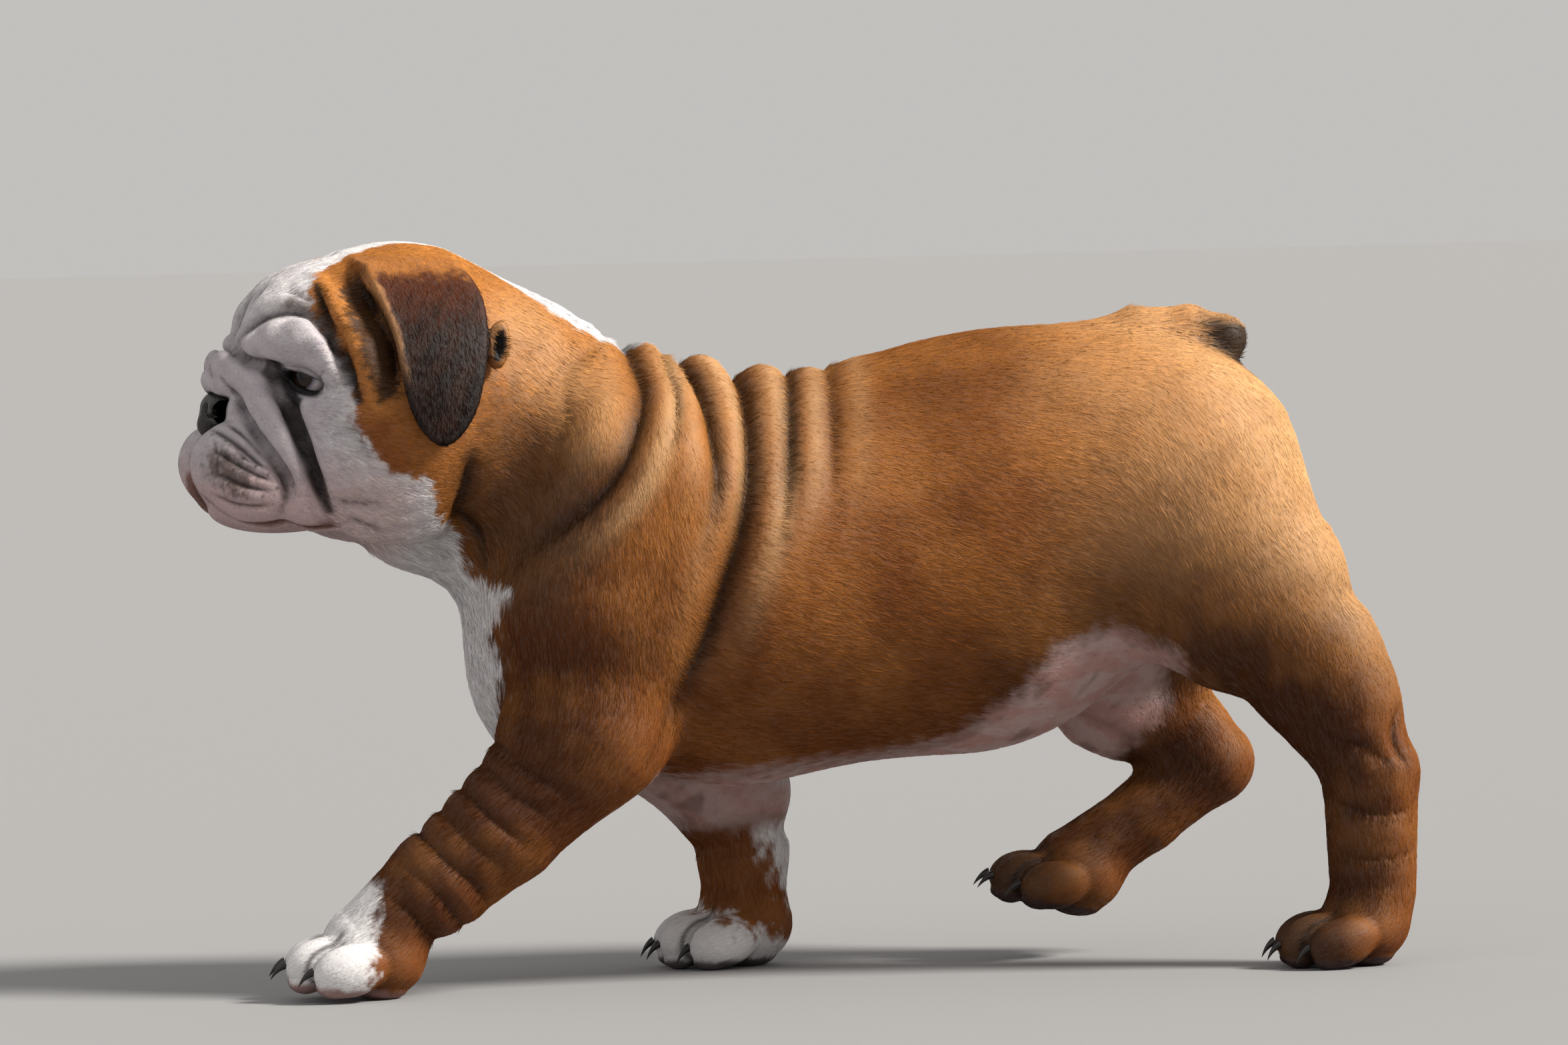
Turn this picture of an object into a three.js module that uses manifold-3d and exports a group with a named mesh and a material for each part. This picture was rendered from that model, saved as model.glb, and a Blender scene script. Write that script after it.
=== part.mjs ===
// A life-size english bulldog puppy at a walk, as a still museum model.
// Millimetres, +Z up, nose towards -X, the animal's left side towards -Y, the floor at z = 0.
// The flesh is one field of rounded masses that melt into one another, with creases pressed into
// it. Each named part is that field meshed at its own fineness and cut free with a thin gap.
import * as THREE from "three";
import { mergeVertices } from "three/addons/utils/BufferGeometryUtils.js";
import Module from "manifold-3d";

const wasm = await Module();
wasm.setup();

// Driving dimensions
const GAP = 0.3; // between neighbouring parts
const FINENESS = 1.08; // scales every mesh step
const HEAD_YAW = 9; // degrees, the head turned towards the animal's left
const HEAD_PIVOT = [-120, 0, 220];
const EYE_RADIUS = 9;
const EYE = [-198, 31, 243]; // centre in the head's own frame, y outwards
const EYE_TURN = 48; // degrees between the gaze and straight ahead
const EYE_SLANT = 17; // degrees, the outer corner below the inner one
const LID = 2; // thickness
const OPENING = [16, 8.4]; // width and height between the lids
const CLAW = [8, 2.6]; // length and radius at the root

const COLOURS = {
  fawn: "#a8632a",
  white: "#d8cdc6",
  dark: "#3a2418",
  nose: "#17120f",
  eye: "#1d120d",
};

// Frames

const WORLD = new THREE.Matrix4();

function frameAt(origin, yaw = 0, pitch = 0, roll = 0) {
  const turn = new THREE.Euler(...[roll, pitch, yaw].map(THREE.MathUtils.degToRad), "ZYX");
  return new THREE.Matrix4().makeRotationFromEuler(turn).setPosition(...origin);
}

const inFrame = (frame, ...turn) => frame.clone().multiply(frameAt(...turn));

const HEAD = inFrame(frameAt(HEAD_PIVOT, HEAD_YAW), HEAD_PIVOT.map((v) => -v));

const pair = (make) => [make(-1), make(1)];

// Masses: a ball is an ellipsoid, a limb is a chain of [x, y, z, radius] widened along y by breadth

function ball(frame, centre, radii, blend, lean = []) {
  const place = inFrame(frame, centre, lean[1], lean[0], lean[2]);
  const inverse = place.invert().elements;
  return { inverse, radii, blend, reach: Math.max(...radii), centre: at(frame, centre) };
}

function limb(frame, points, breadth, blend) {
  const centre = points[Math.floor(points.length / 2)].slice(0, 3);
  const span = ([x, y, z, r]) =>
    r * Math.max(1, breadth) + Math.hypot(x - centre[0], y - centre[1], z - centre[2]);
  const reach = Math.max(...points.map(span));
  const inverse = frame.clone().invert().elements;
  return { inverse, points, breadth, blend, reach, centre: at(frame, centre) };
}

function at(frame, point) {
  return new THREE.Vector3(...point).applyMatrix4(frame).toArray();
}

function ballDistance({ radii: [a, b, c] }, x, y, z) {
  const near = Math.hypot(x / a, y / b, z / c);
  const steep = Math.hypot(x / a / a, y / b / b, z / c / c);
  return steep < 1e-9 ? -Math.min(a, b, c) : (near * (near - 1)) / steep;
}

function limbDistance({ points, breadth }, x, y, z) {
  let d = Infinity;
  for (let i = 1; i < points.length; i++) {
    const [ax, ay, az, ar] = points[i - 1];
    const [bx, by, bz, br] = points[i];
    const dx = bx - ax;
    const dy = (by - ay) / breadth;
    const dz = bz - az;
    const px = x - ax;
    const py = (y - ay) / breadth;
    const pz = z - az;
    const length = Math.hypot(dx, dy, dz);
    const along = (px * dx + py * dy + pz * dz) / length;
    const off = Math.sqrt(Math.max(px * px + py * py + pz * pz - along * along, 0));
    const flare = (ar - br) / length;
    const t = Math.min(1, Math.max(0, (along + (off * flare) / Math.sqrt(1 - flare * flare)) / length));
    const own = Math.hypot(px - t * dx, py - t * dy, pz - t * dz) - (ar + t * (br - ar));
    d = d === Infinity ? own : melt(d, own, 3);
  }
  return d * Math.min(1, breadth);
}

function melt(a, b, blend) {
  const h = Math.max(blend - Math.abs(a - b), 0) / blend;
  return Math.min(a, b) - (h * h * blend) / 4;
}

function trunkMasses() {
  return [
    ball(WORLD, [-30, 0, 158], [92, 75, 83], 30),
    ball(WORLD, [60, 0, 168], [88, 66, 83], 30, [-3]),
    ball(WORLD, [118, 0, 196], [78, 58, 59], 30, [-4]),
    ball(WORLD, [-92, 0, 138], [42, 54, 56], 24, [14]),
    limb(WORLD, [[-30, 0, 170, 60], [-84, 0, 198, 59], [-122, 0, 224, 53]], 1, 26),
    limb(WORLD, [[-112, 0, 196, 40], [-150, 0, 196, 32], [-176, 0, 200, 24]], 1.1, 22),
  ];
}

// The roll of skin that arches over each eye
const browPath = (s) => [
  [-221, s * 12, 251, 5], [-218.5, s * 20, 254.5, 6.5], [-212, s * 29, 257, 8.5],
  [-204, s * 37, 257, 9.5], [-197, s * 43, 252.5, 8.5], [-193.5, s * 47, 245.5, 6],
];

// The fold that runs over the nose and down to the corner of the mouth
const ropePath = (s) => [
  [-229, s * 2, 247.5, 6.5], [-228, s * 8, 247.5, 7.2], [-222.5, s * 15, 244.5, 8],
  [-218, s * 21, 239.5, 8.8], [-215.5, s * 25, 233, 9], [-212.6, s * 28.5, 226, 8.8],
  [-209.3, s * 31.5, 219, 8.2], [-206.4, s * 34, 212, 7.4], [-203.5, s * 36, 205, 6.8],
  [-201.3, s * 37.5, 198.5, 6.2], [-199.5, s * 37.5, 192, 5],
];

const cheekFront = (s) => [
  [-201, s * 28, 237, 8.5], [-197, s * 33, 226, 11], [-193, s * 36, 213, 12], [-188, s * 38, 201, 11],
];

const ridgeBeforeEar = (s) => [
  [-196, s * 20, 282, 3], [-193, s * 32, 273.5, 5], [-188.5, s * 43, 262, 6.5],
  [-184, s * 49.5, 252, 7], [-180, s * 53, 241, 7], [-177, s * 53, 229, 6],
];

const noseCollar = [
  [-226, -14, 236, 3], [-230.5, -9, 240.5, 5], [-232, 0, 242.5, 6], [-230.5, 9, 240.5, 5], [-226, 14, 236, 3],
];

function headMasses() {
  const lids = EYE_RADIUS + LID;
  return [
    ball(HEAD, [-160, 0, 246], [54, 55, 50], 14),
    ball(HEAD, [-196, 0, 256], [30, 38, 31], 14),
    ball(HEAD, [-196, 0, 224], [34, 36, 34], 14),
    ball(HEAD, [-216, 0, 210], [24, 24, 24], 8),
    ...pair((s) => ball(HEAD, [-162, s * 42, 224], [36, 22, 38], 16)),
    ...pair((s) => ball(HEAD, [-176, s * 36, 196], [26, 16, 19], 14, [18])),
    ...pair((s) => limb(HEAD, cheekFront(s), 1, 6)),
    ...pair((s) => limb(HEAD, ridgeBeforeEar(s), 1, 4)),
    // The lower jaw, then the lip pads, their lower borders and their ends at the corner of the mouth
    ball(HEAD, [-203, 0, 193.5], [34, 28, 12.5], 4, [-4]),
    ...pair((s) => ball(HEAD, [-222, s * 14.5, 208], [24.5, 16, 20], 4, [10, s * 6])),
    ...pair((s) => ball(HEAD, [-217, s * 23, 199], [21, 15, 15.5], 5, [0, s * 10])),
    ...pair((s) => ball(HEAD, [-200, s * 33, 192], [14, 10, 10], 5, [10, -s * 15])),
    ...pair((s) => ball(HEAD, [EYE[0], s * EYE[1], EYE[2]], [lids, lids, lids], 3)),
    ...pair((s) => limb(HEAD, browPath(s), 1, 3.5)),
    ...pair((s) => limb(HEAD, ropePath(s), 1, 2)),
    limb(HEAD, noseCollar, 1, 1.5),
    ...pair((s) => ball(HEAD, [-224, s * 14, 229], [8, 6.5, 9.5], 2)),
  ];
}

function legMasses() {
  return [
    // The left foreleg reaches forward, and the right one stands under the chest
    limb(WORLD, [[-64, -50, 196, 34], [-86, -54, 146, 36], [-92, -56, 104, 30]], 0.85, 24),
    limb(
      WORLD,
      [[-90, -55, 100, 29], [-124, -54, 66, 23.5], [-150, -53, 45, 21], [-180, -53, 22, 16]],
      0.95,
      12,
    ),
    limb(WORLD, [[-62, 50, 196, 34], [-80, 54, 146, 36], [-56, 56, 104, 30]], 0.85, 24),
    limb(WORLD, [[-52, 56, 100, 29], [-27, 54, 70, 26], [-22, 52, 45, 19], [-22, 51, 22, 17.5]], 0.95, 12),
    // The left hind leg pushes off behind, and the right one swings forward, clear of the floor
    limb(WORLD, [[150, -32, 186, 50], [172, -36, 150, 43], [197, -40, 122, 28]], 0.72, 24),
    limb(WORLD, [[197, -40, 122, 27], [209, -41, 102, 25], [220, -42, 76, 20], [220, -42, 30, 18]], 0.86, 10),
    limb(WORLD, [[150, 32, 186, 50], [138, 38, 140, 42], [132, 42, 108, 27]], 0.72, 24),
    limb(WORLD, [[132, 42, 106, 27], [158, 43, 88, 20], [170, 42, 78, 15]], 0.86, 10),
    limb(WORLD, [[166, 42, 76, 17], [140, 42, 56, 15.5], [112, 41, 38, 16]], 0.9, 8),
  ];
}

// A paw in its own frame: toes towards -x, sole at z = 0
const TOES = [[-23, -7.6, 12], [-23, 7.6, 12], [-13, -18, 11], [-13, 18, 11]];

function pawMasses({ frame, size }) {
  const part = (centre, radii, blend, lean) =>
    ball(frame, centre.map((v) => v * size), radii.map((v) => v * size), blend, lean);
  return [
    part([2, 0, 15], [19, 19, 15], 8),
    ...TOES.map(([x, y, z]) => part([x + 5, y, z], [14.5, 8.2, 10.5], 3, [-16, -y * 0.4])),
    part([4, 0, 5], [11, 13, 6], 2),
    ...TOES.map(([x, y]) => part([x - 1, y, 4], [6.5, 6, 4.5], 1.5)),
  ];
}

const PAWS = {
  forepaw_left: { frame: frameAt([-179, -53, 0], 0, 7), size: 1.05, wrist: [-164, -53, 34, 142] },
  forepaw_right: { frame: frameAt([-25, 51, -0.5], 4, 0), size: 1.05, wrist: [-22, 51, 32, 90] },
  hindpaw_left: { frame: frameAt([213, -42, -0.5]), size: 1, wrist: [220, -42, 33, 90] },
  hindpaw_right: { frame: frameAt([106, 41, 18], 0, 12), size: 1, wrist: [124, 42, 46, 147] },
};

const tailPath = [[118, 0, 240, 16], [136, 0, 250, 12.5], [156, -2, 252, 10.5], [171, -4, 249, 9.5]];
const TAIL = limb(WORLD, tailPath, 1, 8);

const noseShape = union([
  ball(HEAD, [-231, 0, 231], [7.5, 10.5, 7.5], 4, [14]),
  ...pair((s) => ball(HEAD, [-230.5, s * 8.5, 230], [6.5, 6, 6.3], 3, [14, s * 12])),
  ball(HEAD, [-235, 0, 225], [5, 4, 5], 3),
]);

const NOSTRILS = pair((s) => [
  ball(HEAD, [-238.5, s * 5.5, 231], [6, 2.6, 3], 1.2, [10, s * 8]),
  ball(HEAD, [-236.5, s * 9.5, 228.8], [4.5, 3.2, 1.4], 0.8, [10, s * 30, s * 10]),
]).flat();

const MASSES = [
  ...trunkMasses(), ...legMasses(), TAIL, ...headMasses(), ...Object.values(PAWS).flatMap(pawMasses),
];

function massDistance(mass, x, y, z) {
  const m = mass.inverse;
  const u = m[0] * x + m[4] * y + m[8] * z + m[12];
  const v = m[1] * x + m[5] * y + m[9] * z + m[13];
  const w = m[2] * x + m[6] * y + m[10] * z + m[14];
  return mass.points ? limbDistance(mass, u, v, w) : ballDistance(mass, u, v, w);
}

function union(masses) {
  return (x, y, z) => {
    let d = 1e3;
    for (const mass of masses) {
      const [cx, cy, cz] = mass.centre;
      if (Math.hypot(x - cx, y - cy, z - cz) - mass.reach > d + mass.blend) continue;
      d = melt(d, massDistance(mass, x, y, z), mass.blend);
    }
    return d;
  };
}

const plain = union(MASSES);

// Creases: a path seated on the plain surface, pressed in along its length, with a roll on each side

function slope(field, x, y, z) {
  const e = 0.05;
  return [
    (field(x + e, y, z) - field(x - e, y, z)) / (2 * e),
    (field(x, y + e, z) - field(x, y - e, z)) / (2 * e),
    (field(x, y, z + e) - field(x, y, z - e)) / (2 * e),
  ];
}

function settle(field, p, limits) {
  const f = field(...p);
  const g = slope(field, ...p);
  const scale = f / Math.max(g[0] ** 2 + g[1] ** 2 + g[2] ** 2, 0.2);
  return p.map((v, q) => v - Math.max(-limits[q], Math.min(limits[q], g[q] * scale)));
}

function seated(point) {
  let p = point;
  for (let round = 0; round < 8; round++) p = settle(plain, p, [4, 4, 4]);
  return p;
}

// A seated path without its small zigzags
function evened(path) {
  let out = path;
  for (let round = 0; round < 3; round++)
    out = out.map((p, i) => {
      const before = out[Math.max(i - 1, 0)];
      const after = out[Math.min(i + 1, out.length - 1)];
      return p.map((v, q) => (before[q] + 2 * v + after[q]) / 4);
    });
  return out.map((p) => settle(plain, p, [2, 2, 2]));
}

function onFlank([x, z], s) {
  for (let y = 130; y > 0; y--) if (plain(x, s * y, z) < 0) return [x, s * y, z];
  return [x, 0, z];
}

function crease(points, depth, width) {
  const curve = new THREE.CatmullRomCurve3(points.map((p) => new THREE.Vector3(...p)));
  const count = Math.ceil(curve.getLength() / 5);
  const path = evened(curve.getSpacedPoints(count).map((p) => seated(p.toArray())));
  const fade = (i) => THREE.MathUtils.smoothstep(Math.min(i, count - i) / count, 0, 0.22);
  const low = [0, 1, 2].map((q) => Math.min(...path.map((p) => p[q])) - 4 * width);
  const high = [0, 1, 2].map((q) => Math.max(...path.map((p) => p[q])) + 4 * width);
  return { path, depths: path.map((p, i) => depth * (0.15 + 0.85 * fade(i))), width, low, high };
}

// The neck and shoulder folds, as [x, z] down the flank from the middle of the back
const FLANK_FOLDS = [
  {
    line: [
      [-66, 262], [-65, 236], [-74, 211], [-85, 196], [-96, 186], [-119, 169], [-124, 161],
    ],
    depth: 4.5,
    width: 5.5,
  },
  { line: [[-49, 254], [-41, 238], [-37, 217], [-37, 201], [-41, 186], [-46, 172]], depth: 6, width: 5.5 },
  {
    line: [
      [-28, 250], [-24, 234], [-23, 217], [-24, 197], [-29, 177], [-36, 159], [-45, 134],
      [-59, 106], [-65, 92],
    ],
    depth: 5.5,
    width: 5.5,
  },
  { line: [[-11, 248], [-8, 224], [-8, 208], [-12, 188], [-18, 169]], depth: 3.5, width: 5.5 },
  { line: [[8, 248], [9, 218], [7, 196], [4, 180]], depth: 1.5, width: 5.5 },
];

// Folds of the face in the head's own frame, y outwards
const FACE_FOLDS = [
  // Behind and before the roll over the nose
  {
    line: [
      [-213, 24, 247], [-208.5, 28, 241], [-207, 31, 234.5], [-205.2, 34, 228], [-202.6, 36, 220],
      [-200, 38, 212], [-197.7, 40, 205.7], [-195.5, 41, 199], [-194.3, 41.5, 193],
    ],
    depth: 5,
    width: 2.8,
  },
  {
    line: [
      [-228, 15, 238], [-226.6, 18, 236], [-223.5, 22, 229.5], [-220, 25, 223], [-216.3, 28, 216],
      [-212.6, 31, 208.5], [-209.5, 33, 200.7], [-207, 34, 192.8],
    ],
    depth: 3.5,
    width: 2.5,
  },
  // The line of the mouth
  {
    line: [
      [-243, 5, 199], [-239, 13, 190], [-230, 23, 184], [-217, 31, 182], [-205, 36, 182.5],
      [-195, 39, 185],
    ],
    depth: 4,
    width: 2.4,
  },
  // Under the brow, behind it, and down before the ear
  { line: [[-221, 10, 250], [-215, 22, 248.5], [-209, 32, 248]], depth: 3, width: 2.2 },
  {
    line: [
      [-201, 34, 284], [-199, 41, 272], [-196.5, 47, 262], [-192, 52, 252], [-188, 54, 243],
      [-186, 56, 234],
    ],
    depth: 3.5,
    width: 2.8,
  },
  {
    line: [
      [-184, 42, 285], [-178, 49, 275], [-173, 54, 264], [-171, 57, 250], [-172, 60, 238],
    ],
    depth: 4,
    width: 4,
  },
  // Wrinkles of the lip pad, the corner of the mouth and the brow, and the crease behind the cheek
  {
    line: [
      [-233.8, 19, 220.6], [-229.5, 24, 217.2], [-223.9, 30, 213], [-218.8, 33, 206.7],
    ],
    depth: 1.8,
    width: 2.2,
  },
  {
    line: [
      [-235.3, 22, 206.9], [-230.7, 28, 203.3], [-224.3, 33, 199.8], [-217.5, 36, 199.2],
    ],
    depth: 1.8,
    width: 2.2,
  },
  { line: [[-196, 44, 197], [-189, 46, 196], [-181, 47, 197], [-174, 48, 200]], depth: 2.2, width: 2.4 },
  {
    line: [
      [-223, 8, 257], [-220, 15, 262], [-213, 24, 268], [-204, 34, 269], [-195, 42, 264],
      [-189, 49, 254],
    ],
    depth: 3,
    width: 2.8,
  },
  {
    line: [
      [-141, 60, 212], [-143, 58, 205], [-144, 54, 194], [-145, 50, 181], [-143, 44, 168],
    ],
    depth: 3,
    width: 5.5,
  },
];

const MIDDLE_FOLDS = [
  { line: [[-238, 0, 224], [-243, 0, 219], [-243, 0, 208], [-240, 0, 198]], depth: 3.5, width: 2.4 },
  { line: [[-226, 0, 254], [-221, 0, 266], [-205, 0, 284], [-180, 0, 295]], depth: 2.5, width: 5 },
];

// Rings of loose skin round the forearms and the hocks, as [x, z] across the leg
const LEG_FOLDS = [
  [-1, [[-133, 96], [-106, 74]]], [-1, [[-142, 85], [-114, 62]]], [-1, [[-151, 75], [-124, 50]]],
  [-1, [[-160, 64], [-134, 40]]], [-1, [[-168, 53], [-144, 30]]], [-1, [[198, 92], [228, 78]]],
  [-1, [[203, 70], [236, 62]]], [1, [[-44, 56], [-4, 52]]], [1, [[150, 62], [166, 84]]],
];

const CREASES = [
  ...FLANK_FOLDS.map(({ line, depth, width }) => {
    const left = line.map((p) => onFlank(p, -1));
    const right = line.slice(1).map((p) => onFlank(p, 1));
    return crease([...right.reverse(), ...left], depth, width);
  }),
  ...FACE_FOLDS.flatMap(({ line, depth, width }) =>
    pair((s) => crease(line.map(([x, y, z]) => at(HEAD, [x, s * y, z])), depth, width))),
  ...MIDDLE_FOLDS.map(({ line, depth, width }) => crease(line.map((p) => at(HEAD, p)), depth, width)),
  ...LEG_FOLDS.map(([s, line]) => crease(line.map((p) => onFlank(p, s)), 1.8, 3.4)),
];

function creaseDepth(fold, x, y, z) {
  const { path, depths, width, low, high } = fold;
  if (x < low[0] || y < low[1] || z < low[2] || x > high[0] || y > high[1] || z > high[2]) return 0;
  let nearest = Infinity;
  let depth = 0;
  for (let i = 1; i < path.length; i++) {
    const a = path[i - 1];
    const b = path[i];
    const dx = b[0] - a[0];
    const dy = b[1] - a[1];
    const dz = b[2] - a[2];
    const t0 = ((x - a[0]) * dx + (y - a[1]) * dy + (z - a[2]) * dz) / (dx * dx + dy * dy + dz * dz);
    const t = Math.min(1, Math.max(0, t0));
    const off = Math.hypot(x - a[0] - t * dx, y - a[1] - t * dy, z - a[2] - t * dz);
    if (off < nearest) {
      nearest = off;
      depth = depths[i - 1] + t * (depths[i] - depths[i - 1]);
    }
  }
  const s = nearest / width;
  return depth * (Math.exp(-s * s) - 0.4 * Math.exp(-((s - 2) ** 2) / 0.7));
}

function flesh(x, y, z) {
  let d = plain(x, y, z);
  if (Math.abs(d) > 12) return d;
  for (const fold of CREASES) d += creaseDepth(fold, x, y, z);
  return d;
}

// Meshing: one vertex in each cell that the surface crosses, moved on to the surface. The grid
// lines of an axis are given as [from, step, from, step, ..., to].

function gridLines(runs) {
  const lines = [runs[0]];
  for (let r = 0; r + 2 < runs.length; r += 2) {
    const count = Math.max(1, Math.round((runs[r + 2] - runs[r]) / (runs[r + 1] * FINENESS)));
    for (let i = 1; i <= count; i++) lines.push(runs[r] + ((runs[r + 2] - runs[r]) * i) / count);
  }
  return lines;
}

// A face of the grid whose diagonals disagree would give an edge shared by four faces, so the
// shallower of its inner corners is moved outside
function untangle(values, n, index) {
  const steps = [1, n[0], n[0] * n[1]];
  let changed = true;
  while (changed) {
    changed = false;
    for (let k = 0; k < n[2] - 1; k++)
      for (let j = 0; j < n[1] - 1; j++)
        for (let i = 0; i < n[0] - 1; i++)
          for (let q = 0; q < 3; q++) {
            const a = index(i, j, k);
            const b = a + steps[q];
            const d = a + steps[(q + 1) % 3];
            const c = b + steps[(q + 1) % 3];
            const inside = [a, b, c, d].map((v) => values[v] < 0);
            if (inside[0] !== inside[2] || inside[1] !== inside[3] || inside[0] === inside[1]) continue;
            const [p, r] = inside[0] ? [a, c] : [b, d];
            values[values[p] > values[r] ? p : r] = 0.01;
            changed = true;
          }
  }
}

function surfaceNet(field, ...runs) {
  const lines = runs.map(gridLines);
  const n = lines.map((v) => v.length);
  const index = (i, j, k) => i + n[0] * (j + n[1] * k);
  const values = new Float32Array(n[0] * n[1] * n[2]).fill(1);

  // Blocks well away from the surface are filled from one reading
  const fill = (low, high) => {
    const a = low.map((v, q) => lines[q][v]);
    const b = high.map((v, q) => lines[q][v - 1]);
    const half = Math.hypot(b[0] - a[0], b[1] - a[1], b[2] - a[2]) / 2;
    const value = field((a[0] + b[0]) / 2, (a[1] + b[1]) / 2, (a[2] + b[2]) / 2);
    const widest = [0, 1, 2].reduce((p, q) => (high[q] - low[q] > high[p] - low[p] ? q : p), 0);
    if (Math.abs(value) > half * 1.6 + 6 || high[widest] - low[widest] === 1) {
      for (let k = low[2]; k < high[2]; k++)
        for (let j = low[1]; j < high[1]; j++)
          values.fill(value, index(low[0], j, k), index(high[0], j, k));
      return;
    }
    const middle = (low[widest] + high[widest]) >> 1;
    fill(low, high.map((v, q) => (q === widest ? middle : v)));
    fill(low.map((v, q) => (q === widest ? middle : v)), high);
  };
  fill([1, 1, 1], n.map((v) => v - 1));
  untangle(values, n, index);

  const vertexOf = new Map();
  const positions = [];
  const corners = [0, 1, 2, 3, 4, 5, 6, 7].map((c) => [c & 1, (c >> 1) & 1, c >> 2]);
  const isEdge = (a, b) => a.reduce((sum, v, q) => sum + Math.abs(v - b[q]), 0) === 1;
  const edges = corners.flatMap((a, i) =>
    corners.slice(i + 1).filter((b) => isEdge(a, b)).map((b) => [a, b]));
  const addVertex = (cell) => {
    const sum = [0, 0, 0];
    let count = 0;
    for (const [a, b] of edges) {
      const va = values[index(cell[0] + a[0], cell[1] + a[1], cell[2] + a[2])];
      const vb = values[index(cell[0] + b[0], cell[1] + b[1], cell[2] + b[2])];
      if (va < 0 === vb < 0) continue;
      const t = va / (va - vb);
      for (let q = 0; q < 3; q++) sum[q] += a[q] + t * (b[q] - a[q]);
      count++;
    }
    if (!count) return;
    const size = cell.map((v, q) => lines[q][v + 1] - lines[q][v]);
    let p = cell.map((v, q) => lines[q][v] + (sum[q] / count) * size[q]);
    for (let round = 0; round < 2; round++) p = settle(field, p, size.map((v) => v / 4));
    vertexOf.set(index(...cell), positions.length / 3);
    positions.push(...p);
  };
  for (let k = 0; k < n[2] - 1; k++)
    for (let j = 0; j < n[1] - 1; j++) for (let i = 0; i < n[0] - 1; i++) addVertex([i, j, k]);

  const faces = [];
  const apart = (a, b) =>
    Math.hypot(...[0, 1, 2].map((q) => positions[a * 3 + q] - positions[b * 3 + q]));
  const quad = (cells, flip) => {
    const [p, q, r, s] = cells.map((cell) => vertexOf.get(index(...cell)));
    const [a, b, c, d] = flip ? [p, s, r, q] : [p, q, r, s];
    if (apart(a, c) < apart(b, d)) faces.push(a, b, c, a, c, d);
    else faces.push(a, b, d, b, c, d);
  };
  for (let k = 0; k < n[2] - 1; k++)
    for (let j = 0; j < n[1] - 1; j++)
      for (let i = 0; i < n[0] - 1; i++) {
        const inside = values[index(i, j, k)] < 0;
        if (j && k && inside !== values[index(i + 1, j, k)] < 0)
          quad([[i, j - 1, k - 1], [i, j, k - 1], [i, j, k], [i, j - 1, k]], !inside);
        if (i && k && inside !== values[index(i, j + 1, k)] < 0)
          quad([[i - 1, j, k - 1], [i - 1, j, k], [i, j, k], [i, j, k - 1]], !inside);
        if (i && j && inside !== values[index(i, j, k + 1)] < 0)
          quad([[i - 1, j - 1, k], [i, j - 1, k], [i, j, k], [i - 1, j, k]], !inside);
      }
  const geometry = new THREE.BufferGeometry();
  geometry.setAttribute("position", new THREE.Float32BufferAttribute(positions, 3));
  geometry.setIndex(faces);
  return geometry;
}

// Solids

const bare = ({ attributes, index }) =>
  new THREE.BufferGeometry().setAttribute("position", attributes.position).setIndex(index);

function solid(geometry) {
  const merged = mergeVertices(bare(geometry), 1e-4);
  return new wasm.Manifold(
    new wasm.Mesh({
      numProp: 3,
      vertProperties: new Float32Array(merged.attributes.position.array),
      triVerts: new Uint32Array(merged.index.array),
    }),
  );
}

function geometryOf(manifold) {
  const mesh = manifold.getMesh();
  const geometry = new THREE.BufferGeometry();
  geometry.setAttribute("position", new THREE.BufferAttribute(mesh.vertProperties, 3));
  geometry.setIndex(new THREE.BufferAttribute(mesh.triVerts, 1));
  return geometry;
}

// The same surface moved outwards, which leaves an even gap round a part set into another
function grown(geometry, by) {
  const wide = geometry.clone();
  wide.computeVertexNormals();
  const { position, normal } = wide.attributes;
  for (let i = 0; i < position.count; i++)
    position.setXYZ(
      i,
      position.getX(i) + by * normal.getX(i),
      position.getY(i) + by * normal.getY(i),
      position.getZ(i) + by * normal.getZ(i),
    );
  return solid(wide);
}

// A half space: a large box that begins at the frame's origin and runs along its +x
function beyond([x, y, z, lean], gap = 0) {
  const box = new THREE.BoxGeometry(800, 800, 800).translate(400 + gap, 0, 0);
  return solid(box.applyMatrix4(frameAt([x, y, z], 0, lean)));
}

function offsetOutline(outline, by) {
  const clockwise = THREE.ShapeUtils.isClockWise(outline.map(([x, y]) => new THREE.Vector2(x, y)));
  const points = clockwise ? outline : [...outline].reverse();
  return points.map((p, i) => {
    const before = points[(i + points.length - 1) % points.length];
    const after = points[(i + 1) % points.length];
    const a = new THREE.Vector2(p[0] - before[0], p[1] - before[1]).normalize();
    const b = new THREE.Vector2(after[0] - p[0], after[1] - p[1]).normalize();
    const miter = new THREE.Vector2(-a.y - b.y, a.x + b.x).normalize();
    const reach = by / Math.max(0.3, miter.y * a.x - miter.x * a.y);
    return [p[0] + miter.x * reach, p[1] + miter.y * reach];
  });
}

// A block whose side outline is given as [x, z] points. It starts at a plane that leans with
// height, y = start + lean * z, and runs outwards on side s.
function sideBlock({ outline, start, lean }, s, gap = 0) {
  const shape = new THREE.Shape(offsetOutline(outline, gap).map(([x, z]) => new THREE.Vector2(x, z)));
  const block = new THREE.ExtrudeGeometry(shape, { depth: 140, bevelEnabled: false });
  // The extrusion runs along the shape's z, which becomes y on the chosen side
  const place = new THREE.Matrix4();
  place.set(1, 0, 0, 0, 0, s * lean, s, s * (start - gap), 0, 1, 0, 0, 0, 0, 0, 1);
  block.applyMatrix4(place);
  if (place.determinant() < 0) flip(block);
  return solid(block);
}

function flip(geometry) {
  const counted = new Uint32Array(geometry.attributes.position.count).map((_, i) => i);
  const order = geometry.index ?? new THREE.BufferAttribute(counted, 1);
  for (let i = 0; i < order.count; i += 3) {
    const first = order.getX(i);
    order.setX(i, order.getX(i + 1));
    order.setX(i + 1, first);
  }
  geometry.setIndex(order);
}

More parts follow.
